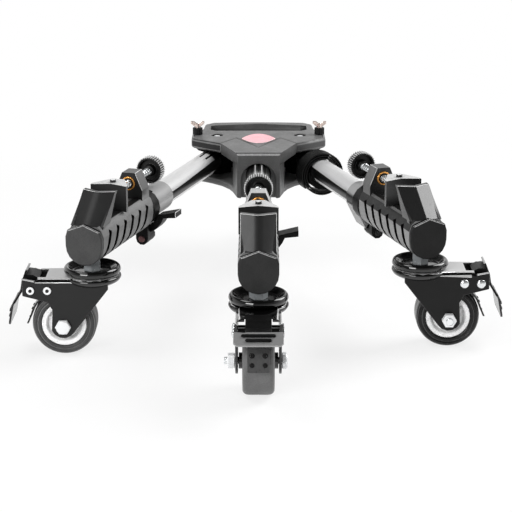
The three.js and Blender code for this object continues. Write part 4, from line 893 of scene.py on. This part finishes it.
def clamp_screw(side):
    """Dished knob with a hub, its plain rod, and the ridges and thread on them."""
    back, front, rod_end = -242.5, -255.5, -374.7
    knob = rounded_row([
        (0, back), (16.2, back), (16.2, front), (13.4, front), (13.4, front + 6.5),
        (7, front + 6.5), (6.6, front - 1), (4, front - 1), (4, rod_end), (0, rod_end),
    ], 1.0)
    shape = Shape().lathe("Y", knob, ON_SCREW, 72, lambda radius, along: int(along < front - 1.5))
    body = f"{side}_screw"
    mesh_piece(f"{side}_knob", shape, LEG[side], [KNOB_PLASTIC, ZINC], body, [f"{side}_clamp_screw"])
    ring = shifted(LEG[side], 0, (back + front) / 2, SCREW_AXIS, turned(-90))
    # The ridges are painted pale as highlights on the black knob
    values = (KNOB_RIDGE_HIGHLIGHT, 36, 0.0162, 0.0013, 0.0026, 0.0122)
    grow(f"{side}_knob_ridges", RIDGE_RING, values, ring, body)
    place = shifted(LEG[side], 0, -258, SCREW_AXIS, turned(90))
    grow(f"{side}_screw_thread", THREAD, (ZINC, 38.0, 0.004, 0.114, 0.00055), place, body)


def moving_jaw(side):
    top, screw_out = LEG_AXIS + 53.5, -373
    body = f"{side}_jaw"

    # The flange's top is painted pale as light on it, the sides lighter as light falls on them, and the top edges
    # carry a painted highlight
    def finish(centre, normal):
        if normal.z > 0.9 and centre.z > top - 0.5:
            return 1
        return 2 if abs(normal.x) > 0.8 and centre.z > LEG_AXIS + 22 else 0

    cad_piece(
        f"{side}_moving_jaw", f"{side}_jaw_plate", LEG[side],
        [JAW_PLASTIC[side], FLANGE_TOP_LIT, JAW_SIDE_LIT[side], JAW_EDGE_HIGHLIGHT], body, finish,
        [(0.45, 3, 32, lambda middle, edge: middle.z > top - 4)],
    )
    for name, head, height in (
        ("screw", (DARK_STEEL, 24, 0.0038, 0.0035, 0.0032), top - 0.3),
        ("screw_crown", (ZINC_SATIN, 24, 0.0031, 0.0026, 0.0021), top + 1.2),
    ):
        points = [((0, screw_out, height), (0, 0, 1))]
        grow(f"{side}_jaw_{name}", HEAD_ROW, head, LEG[side], body, points)


def lock_band(side):
    cad_piece(
        f"{side}_lock_band", f"{side}_band", LEG[side], [LOCK_PLASTIC],
        f"{side}_carriage", rounds=[(0.8, -1, 40, None)],
    )
    head = (PIN_RED if side == "left" else DARK_STEEL, 28, 0.0042, 0.0034, 0.0012)
    points = [((EAR[0], PIN_FACE, LEG_AXIS + EAR[1]), (0, -1, 0))]
    grow(f"{side}_band_pin", HEAD_ROW, head, LEG[side], f"{side}_lever", points)


def lock_lever(side):
    """Curved lever; the front one has a pale pad on its tip, the side ones a painted highlight round the tip's
    edges.
    """
    tip_from = 36

    def tip_edge(middle, edge):
        return middle.x > tip_from and middle.z > LEG_AXIS - 6

    def pad(centre, normal):
        return 1 if side == "front" and centre.x > tip_from and (normal.z > 0.3 or normal.y < -0.6) else 0

    cad_piece(
        f"{side}_lock_lever", f"{side}_lever_arm", LEG[side], [LOCK_PLASTIC, LEVER_PAD, LEVER_EDGE_HIGHLIGHT],
        f"{side}_lever", pad, [
            (0.6, 0 if side == "front" else 2, 40, tip_edge),
            (0.9, -1, 40, lambda middle, edge: middle.x < tip_from),
        ],
    )


# Casters

WHEEL_RADIUS = 37.5
AXLE_HEIGHT = 37.319
TRAIL = 33
ON_AXLE = (0, -TRAIL, AXLE_HEIGHT)
FORK_HALF = 25.3


def hexagon(radius):
    return arc(radius, 0, 300, 5)


def caster_raceway(side):
    """Dished upper ring with its rolled rim, nut and stem, and the kingpin under it."""
    rim = rounded_row([
        (0, 85), (11, 85), (11, 88), (8, 88), (8, 94.6), (29.4, 94.6), (32.1, 96.4),
        (33.4, 99.6), (32.5, 102.8), (30.5, 104.6), (28.3, 104.2), (22.4, 98.2),
        (14, 98), (14, 98), (0, 98),
    ], 1.2)
    shape = Shape().lathe("Z", rim, segments=96)
    shape.prism("Z", hexagon(10.4), 98, 110.4, chamfer=0.9, finish=1)
    shape.lathe("Z", [(0, 110), (6, 110), (6, 115.4), (0, 115.4)], segments=32, finish=1)
    mesh_piece(
        f"{side}_raceway", shape, CASTER[side], [BLACK_STEEL, ZINC_BLUE],
        f"{side}_carriage", [f"{side}_caster_raceway"],
    )


def fork_finish(centre, normal):
    """Plates, painted lighter or darker by side as light falls; the bridge between ring and pedal, painted pale as
    a sheen on the side casters; and the glossy rest.
    """
    if normal.z > 0.9 and centre.z > 93:
        return 2
    return 1 if abs(normal.x) > 0.9 else 0


def caster_fork(side):
    # The bends of the plates carry a painted highlight
    def bend(middle, edge):
        return middle.z > 88 and middle.y < 12 and abs(middle.x) > 18 and long(edge) > 8

    body = f"{side}_fork"
    top = BLACK_STEEL if side == "front" else FORK_TOP_SHEEN
    cad_piece(
        f"{side}_caster_fork", body, CASTER[side], [BLACK_STEEL, FORK_PLATE_LIT_BY_SIDE[side], top, FORK_BEND_HIGHLIGHT],
        body, fork_finish,
        [(1.3, 3, 20, bend), (0.7, 0, 35, lambda middle, edge: not bend(middle, edge))],
    )
    crown = rounded_row([
        (8.5, 84), (18, 82.6), (26, 84), (31.8, 87.6), (33.6, 91), (33.2, 92.8), (31.4, 94.05), (8.5, 94.05),
    ], 1.6)
    ring = Shape().lathe("Z", closed(crown), segments=96)
    mesh_piece(f"{side}_fork_crown", ring, CASTER[side], [BLACK_STEEL], body)
    fork_rivets(side)


def fork_rivets(side):
    """Each brake pin is rolled over hollow at one end and headed round at the other."""
    face, eye = FORK_HALF + 1, 2.15
    hollow = rounded_row([
        (0, face), (4.6, face), (4.6, face + 1.4), (2.1, face + 1.6), (1.8, face + 0.5), (0, face + 0.5),
    ], 0.5)
    shape = Shape()
    for trail, height in (PEDAL_PIN, SHOE_PIN):
        at = (0, -trail, height)
        shape.lathe("X", hollow, at, 40, lambda radius, along: int(radius < eye and along > face + 0.2))
        shape.lathe("X", dome_profile(5.4, -2.6, -face, 15), at, 40, 2)
    mesh_piece(
        f"{side}_fork_rivets", shape, CASTER[side], [ZINC_SATIN, EYE_BROWN, ZINC], f"{side}_fork",
    )


def mirrored(row):
    return [(radius, -across) for radius, across in reversed(row)]


def caster_wheel(side):
    """Tyre with rounded shoulders and two wall lines painted as highlights, its rubber painted lighter or darker by
    side as light falls, and a white rim with a dark bearing cap.
    """
    half = 17.5
    wall = [
        (26.5, half - 0.6), (27.4, half), (30.2, half), (30.8, half - 0.7), (31.6, half - 0.7),
        (32.2, half - 0.05), (33.2, half - 0.2), (35.6, half - 1.7), (36.9, half - 4.2), (37.3, half - 7.5),
        (37.3, 0.5),
    ]
    profile = closed(rounded_row(wall + [(37.0, 0.0)] + mirrored(wall), 0.5, 2))
    tyre = Shape().lathe(
        "X", profile, ON_AXLE, 128, lambda radius, across: int(30.0 < radius < 30.8 or 34.6 < radius < 35.7),
    )
    mesh_piece(
        f"{side}_tyre", tyre, CASTER[side], [TYRE_RUBBER_LIT_BY_SIDE[side], TYRE_LINE_HIGHLIGHT[side]],
        f"{side}_wheel", [f"{side}_caster_tyre"],
    )
    face = half - 1.2
    outer = [
        (4.3, 21.5), (9, 21.5), (9, face - 5), (12.5, face - 5.4), (18.4, face - 5),
        (20.2, face - 0.8), (21.2, face), (25.4, face), (26.2, face - 0.8),
    ]
    profile = closed(rounded_row(outer + mirrored(outer), 0.6))
    rim = Shape().lathe("X", profile, ON_AXLE, 96, lambda radius, across: int(radius < 12))
    mesh_piece(
        f"{side}_rim", rim, CASTER[side], [RIM_PLASTIC, BLACK_STEEL],
        f"{side}_wheel", [f"{side}_caster_rim"],
    )


def caster_axle(side):
    edge = FORK_HALF + 0.3
    end = -edge - 12
    shape = Shape().lathe("X", [(0, end), (3.5, end), (4, end + 0.7), (4, edge), (0, edge)], ON_AXLE, 32)
    shape.prism("X", hexagon(9.2), edge, edge + 5, ON_AXLE, chamfer=0.8)
    shape.prism("X", hexagon(8.6), -edge - 8, -edge - 0.2, ON_AXLE, chamfer=0.7)
    shape.lathe("X", [(0, edge + 4.6), (8.2, edge + 4.6), (7.2, edge + 6), (0, edge + 6)], ON_AXLE, 40)
    body = f"{side}_fork"
    mesh_piece(f"{side}_axle_bolt", shape, CASTER[side], [ZINC_SATIN], body, [f"{side}_caster_axle"])
    place = shifted(CASTER[side], end + 0.2, -TRAIL, AXLE_HEIGHT, turned(90, "Y"))
    grow(f"{side}_axle_thread", THREAD, (ZINC, 3.0, 0.004, 0.0033, 0.0004), place, body)


def pedal_finish(centre, normal):
    """The lip above the block is bare; the block and the neck under it are dull black."""
    if centre.z > 15.6:
        return 2
    return 1 if centre.z > -19 and abs(centre.x) < 15.5 else 0


def pill(half_length, radius):
    """Outline of a bar with round ends."""
    reach = half_length - radius
    return arc(radius, -90, 90, 8, (reach, 0)) + arc(radius, 90, 270, 8, (-reach, 0))


def brake_pedal(side):
    """Pressed steel pedal with two raised black bars across its tread."""
    body = f"{side}_pedal"
    # The front pedal's plate is painted grey as a reflection
    plate = TREAD_REFLECTION if side == "front" else PLATE_STEEL
    cad_piece(
        f"{side}_brake_pedal", body, PEDAL[side], [plate, RIDGE_BLACK, LIP_STEEL],
        body, pedal_finish, [(0.5, -1, 30, lambda middle, edge: middle.z < 3)],
    )
    bend, tip = Vector((-21.6, -19.6)), Vector((-25.6, -40.5))
    lean = math.degrees(math.atan2(bend.x - tip.x, bend.y - tip.y))
    bars = Shape()
    for share, half_length in ((0.34, 18.2), (0.72, 13.9)):
        spot = bend.lerp(tip, share)
        bar = Shape().prism("Z", pill(half_length, 2.1), 1.2, 3.3, chamfer=0.5)
        stand = Matrix.Translation((0, spot.x, spot.y)) @ turned(90 - lean)
        bars.add([stand @ point for point in bar.points], bar.faces)
    mesh_piece(f"{side}_pedal_bars", bars, PEDAL[side], [RIDGE_BLACK], body)


def brake_shoe(side):
    body = f"{side}_shoe"
    front = side == "front"
    # The shoe is painted grey on the front caster and near black on the side ones, as painted light and shade
    cad_piece(
        f"{side}_brake_shoe", body, SHOE[side], [SHOE_STEEL if front else SHOE_BLACK],
        body, rounds=[(0.3, -1, 35, None)],
    )
    axle = Vector((0, SHOE_PIN[0] - TRAIL, AXLE_HEIGHT - SHOE_PIN[1]))
    sites = []
    for degrees in (9, 24):
        angle = math.radians(degrees)
        way = Vector((0, -math.cos(angle), math.sin(angle)))
        middle = axle + way * (WHEEL_RADIUS + 3.2)
        sites += [((across, middle.y, middle.z), tuple(way)) for across in (-7, 7)]
    stud = (0.003, 0.0019, 0.0024) if front else (0.0022, 0.0014, 0.001)
    grow(f"{side}_shoe_studs", HEAD_ROW, (BLACK_STEEL, 20, *stud), SHOE[side], body, sites)


# Hub

HUB_TOP = 165
PIVOT = (58.5, 98)
WING = (86, 100)
HAND_WALL = 162
# The joint line between cover and base, on the right half
SEAM = ((52, 43), (31, 77), (0, 17))


def on_seam(middle, edge):
    """The dark joint line that runs round the front block and dips in a V before the inlay."""
    spot = Vector((abs(middle.x), middle.y))
    for start, end in zip(SEAM, SEAM[1:]):
        along = Vector(end) - Vector(start)
        share = min(1, max(0, (spot - Vector(start)).dot(along) / along.length_squared))
        if (Vector(start) + along * share - spot).length < 1.6 and middle.z > HUB_TOP - 4:
            return True
    return False


def cover_finish(centre, normal):
    """Top, flanks in painted shade, deeper on the left ones, and pin recesses painted black as shade."""
    if math.hypot(abs(centre.x) - PIVOT[0], centre.y - PIVOT[1]) < 10 and centre.z < HUB_TOP - 0.3:
        return 2
    if normal.z > 0.85:
        return 0
    return 3 if normal.x < -0.25 else 1


def base_finish(centre, normal):
    """Top, hollows round the leg roots painted black as shade, and flanks in painted shade."""
    if centre.z > HUB_TOP - 0.5 and normal.z > 0.9:
        return 0
    if abs(centre.x) > 25 and centre.y > 30 and centre.z > LEG_AXIS - 21:
        return 1
    return 0 if normal.z > 0.6 else 3


def hub_shell():
    # The handle's rounded rear edge takes the flanks' painted shade
    def handle_edge(middle, edge):
        return HAND_WALL < middle.y < HAND_WALL + 6 and middle.z > HUB_TOP - 0.5 and long(edge) > 20

    def other_edge(middle, edge):
        return not on_seam(middle, edge) and not HAND_WALL - 2 < middle.y < HAND_WALL + 14

    # The front block's rounded top edge carries a painted highlight, with a thin line of painted shade where it
    # meets the top
    def block_brow(middle, edge):
        return middle.z > HUB_TOP - 3 and middle.y < -15 and long(edge) > 10

    def brow_line(middle, edge):
        met = {face.material_index for face in edge.link_faces}
        return met == {0, 2} and middle.z > HUB_TOP - 1 and long(edge) > 10

    cad_piece(
        "hub_cover", "hub_top_shell", HUB, [HUB_PLASTIC, HUB_SHADE, MATTE_BLACK_AND_SHADE, HUB_DEEP_SHADE],
        "hub", cover_finish, [(8.0, 1, 40, handle_edge), (1.2, 0, 25, other_edge)],
    )
    cad_piece(
        "hub_base", "hub_lower_shell", HUB, [HUB_PLASTIC, MATTE_BLACK_AND_SHADE, HUB_EDGE_HIGHLIGHT, HUB_SHADE, HUB_DEEP_SHADE],
        "hub", base_finish, [
            (0.7, 1, 25, on_seam), (3.2, 2, 30, block_brow), (1.8, 4, 8, brow_line),
            (1.6, -1, 40, lambda middle, edge: middle.z < HUB_TOP - 5),
        ],
    )
    # A black sheet on the handle slot's back wall paints the shade in the slot
    near, far, foot, top = HAND_WALL - 0.2, HAND_WALL + 0.6, 149.5, HUB_TOP - 8
    outline = [(near, foot), (far, foot), (far, top), (near, top)]
    mesh_piece("hand_slot_painted_shade", Shape().prism("X", outline, -60, 60), HUB, [MATTE_BLACK_AND_SHADE], "hub")


def hub_inlay():
    cad_piece("hub_badge", "hub_inlay", HUB, [INLAY, INLAY_EDGE], "hub", rounds=[(0.45, 1, 40, None)])


def pivot_pin(side, way):
    """Shank and head painted black as the shade of their recess, with a polished dome."""
    low, top = 107.8, HUB_TOP - 5.2
    x, y = way * PIVOT[0], PIVOT[1]
    shape = Shape().lathe("Z", rounded_row([
        (0, low), (5.5, low), (5.5, top), (8, top), (8, top + 1.4), (0, top + 1.4),
    ], 0.4), (x, y, 0), 64, 1)
    shape.lathe("Z", dome_profile(6.2, 3.4, top + 1.2, 10), (x, y - 1.3, 0))
    mesh_piece(f"{side}_pivot_screw", shape, HUB, [ZINC_SATIN, MATTE_BLACK_AND_SHADE], "hub", [f"{side}_pivot_pin"])


def wing_screw(side, way):
    at = (way * WING[0], WING[1], 0)
    body = f"{side}_wing_screw"
    seat = HUB_TOP + 0.3
    shape = Shape().lathe("Z", rounded_row([
        (0, 149.8), (3, 149.8), (3, seat), (6.2, seat), (6.2, seat + 10), (0, seat + 10),
    ], 0.8), at, 48, 1)
    shape.lathe("Z", [(0, seat + 9.6), (3.6, seat + 9.6), (3.6, seat + 15), (0, seat + 15)], at, 32)
    low = seat + 12
    wing = [(3.6, low - 1), (9.5, low + 3.5), (9.5, low + 7), (4.75, low + 7), (1.4, low + 4.2)]
    shape.prism("Y", [(-3.6, low - 1)] + wing + [(-x, z) for x, z in wing[:0:-1]], -2, 2, at, chamfer=0.5)
    mesh_piece(body, shape, HUB, [WING_METAL, KNOB_PLASTIC], body, [f"{side}_thumb_screw"])
    boss = shifted(HUB, at[0], at[1], seat + 5)
    values = (KNOB_PLASTIC, 14, 0.0062, 0.0015, 0.0015, 0.0092)
    grow(f"{side}_wing_boss_ridges", RIDGE_RING, values, boss, body)


def leg_knuckle(side):
    cad_piece(
        f"{side}_leg_knuckle", f"{side}_knuckle", ROOT[side], [MATTE_BLACK_AND_SHADE],
        f"{side}_leg", rounds=[(0.6, -1, 40, None)],
    )


STRAP = {"place": 84, "width": 25, "inner": 21, "thickness": 2.2, "gap": 0.9, "turns": 2.6, "steps": 72}


def strap_section(half, thick):
    """Points [out, across] round the strap's section, with nine grooves in its outer face."""
    section = [(0, -half + 0.6), (0, half - 0.6), (0.5, half), (thick - 0.5, half), (thick, half - 0.6)]
    for index in range(9):
        spot = half - 2.2 - index * (2 * half - 4.4) / 8
        section += [(thick, spot + 0.7), (thick - 0.5, spot), (thick, spot - 0.7)]
    return section + [(thick, -half + 0.6), (thick - 0.5, -half), (0.5, -half)]


def tie_strap(side):
    """Spiral strap with a ribbed face, its tucked inner turns and its layer on the tube."""
    half, thick, place = STRAP["width"] / 2, STRAP["thickness"], -STRAP["place"]
    drop = STRAP["inner"] - TUBE_RADIUS - 0.3
    centre = LEG_AXIS - drop
    rows = []
    for step in range(round(STRAP["turns"] * STRAP["steps"]) + 1):
        turn = step / STRAP["steps"]
        base = STRAP["inner"] + (thick + STRAP["gap"]) * turn
        wave = 0.18 if step % 2 else 0.0
        angle = 2 * math.pi * turn
        row = []
        for out, across in strap_section(half, thick):
            reach = base + out - (wave if out > thick - 0.1 else 0)
            row.append((reach * math.cos(angle), place + across, centre + reach * math.sin(angle)))
        rows.append(row)
    shape = Shape().skin(rows)
    low, high = place - half + 1, place + half - 1
    for inner, first, last in ((18.2, 166, 374), (15.7, 179, 361), (13.5, 206, 334)):
        band = band_outline(inner, inner + thick, first, last, 40)
        shape.prism("Y", band, low, high, (0, 0, centre), 1, 0.4)
    tail = arc(15.2, 200, 340, 30) + arc(TUBE_RADIUS + 0.2, 330, 210, 30, (0, drop))
    shape.prism("Y", tail, low, high, (0, 0, centre), 1)
    wrap = band_outline(TUBE_RADIUS + 0.15, TUBE_RADIUS + 1.2, 165, 345, 40)
    shape.prism("Y", wrap, place - half - 6, place + half, ON_LEG, 1)
    mesh_piece(
        f"{side}_tie_strap", shape, ROOT[side], [STRAP_RUBBER, MATTE_BLACK_AND_SHADE],
        f"{side}_leg", [f"{side}_leg_strap"], 50,
    )


LEG_PIECES = (
    leg_tube, leg_sleeve, leg_housing, end_cap, clamp_insert, clamp_screw, moving_jaw, lock_band, lock_lever,
    caster_raceway, caster_fork, caster_wheel, caster_axle, brake_pedal, brake_shoe,
)
for side in SIDES:
    for build in LEG_PIECES:
        build(side)
hub_shell()
hub_inlay()
for side, way in (("left", -1), ("right", 1)):
    pivot_pin(side, way)
    wing_screw(side, way)
    leg_knuckle(side)
tie_strap("right")

# Stage, lamps and camera

WHITE = (1, 1, 1, 1)
FLOOR_REACH = 12
# The floor turns from its own shade to plain white between these distances, in metres
FLOOR_NEAR = 0.5
FLOOR_FAR = 0.95
FLOOR_LIFT = 0.76
DOME_LIGHT = 0.36
LAMPS = (
    ("key", (1.55, 0.6, 1.55), (1.3, 1.3), 40),
    ("left_top", (-1.1, -0.3, 2.0), (0.9, 0.9), 12),
    ("left_front", (-1.3, -2.1, 0.9), (1.2, 0.8), 32),
)
# The camera as it was fitted to the photograph: how far it stands from the hub, its height and its tilt
CAMERA_BACK = 2.0955
CAMERA_HEIGHT = 0.636
CAMERA_TILT = 73.5
CAMERA_LENS = 111.26
CAMERA_SHIFT = -0.0049


def pale_floor():
    """Pale floor that keeps the shadow under the dolly and runs out to plain white for the camera."""
    material = bpy.data.materials.new("pale_floor")
    material.use_nodes = True
    tree = material.node_tree
    shader = tree.nodes["Principled BSDF"]
    for label, value in (("Base Color", colour(0.95)), ("Roughness", 0.9), ("Specular IOR Level", 0.1)):
        shader.inputs[label].default_value = value
    white = add_node(tree, "ShaderNodeEmission", {"Color": WHITE, "Strength": 1.0})
    place = add_node(tree, "ShaderNodeTexCoord")
    flat = add_node(tree, "ShaderNodeVectorMath", {0: place.outputs["Object"]}, operation="LENGTH")
    away = remap(tree, flat.outputs["Value"], FLOOR_NEAR, FLOOR_FAR, FLOOR_LIFT, 1)
    path = add_node(tree, "ShaderNodeLightPath").outputs
    seen = calc(tree, "MAXIMUM", path["Is Camera Ray"], path["Is Glossy Ray"])
    mixed = mix_shader(tree, calc(tree, "MULTIPLY", away, seen), shader.outputs[0], white.outputs[0])
    tree.links.new(mixed, tree.nodes["Material Output"].inputs["Surface"])
    mesh = bpy.data.meshes.new("floor")
    corners = [(x * FLOOR_REACH, y * FLOOR_REACH, 0) for x, y in ((-1, -1), (1, -1), (1, 1), (-1, 1))]
    mesh.from_pydata(corners, [], [(0, 1, 2, 3)])
    mesh.materials.append(material)
    floor = link_object("floor", mesh)


def studio_world():
    """White backdrop round the dolly for the camera and for gloss, under a dark ceiling, and a grey dome."""
    world = bpy.data.worlds.new("studio")
    bpy.context.scene.world = world
    world.use_nodes = True
    tree = world.node_tree
    tree.nodes.clear()
    path = add_node(tree, "ShaderNodeLightPath").outputs
    way = add_node(tree, "ShaderNodeTexCoord").outputs["Generated"]
    parts = add_node(tree, "ShaderNodeSeparateXYZ", {0: way}).outputs
    wall = remap(tree, parts["Z"], 0.3, 0.6, 1.0, 0.12)
    behind = remap(tree, parts["Y"], -0.5, 0.3, 0.3, 1.0)
    dome, mirror, seen = (
        add_node(tree, "ShaderNodeBackground", {"Color": WHITE, "Strength": strength}).outputs[0]
        for strength in (DOME_LIGHT, calc(tree, "MULTIPLY", wall, behind), 1.0)
    )
    gloss = calc(tree, "MAXIMUM", path["Is Glossy Ray"], path["Is Transmission Ray"])
    backdrop = mix_shader(tree, path["Is Camera Ray"], mix_shader(tree, gloss, dome, mirror), seen)
    add_node(tree, "ShaderNodeOutputWorld", {"Surface": backdrop})


def soft_lamp(name, place, size, power):
    """Area lamp aimed at the middle of the dolly."""
    lamp = bpy.data.lights.new(name, "AREA")
    lamp.shape = "RECTANGLE"
    lamp.size, lamp.size_y = size
    lamp.energy = power
    obj = link_object(name, lamp)
    obj.location = place
    obj.rotation_euler = (Vector((0, 0, 0.1)) - Vector(place)).to_track_quat("-Z", "Y").to_euler()


def photo_camera():
    camera = bpy.data.cameras.new("photo_camera")
    camera.sensor_width = 36
    camera.lens = CAMERA_LENS
    camera.shift_x = CAMERA_SHIFT
    camera.clip_end = 50
    obj = link_object("photo_camera", camera)
    obj.location = (0, HUB.translation.y - CAMERA_BACK, CAMERA_HEIGHT)
    obj.rotation_euler = (math.radians(CAMERA_TILT), 0, 0)
    bpy.context.scene.camera = obj


pale_floor()
studio_world()
for lamp in LAMPS:
    soft_lamp(*lamp)
photo_camera()
bpy.context.scene.view_settings.view_transform = "Standard"
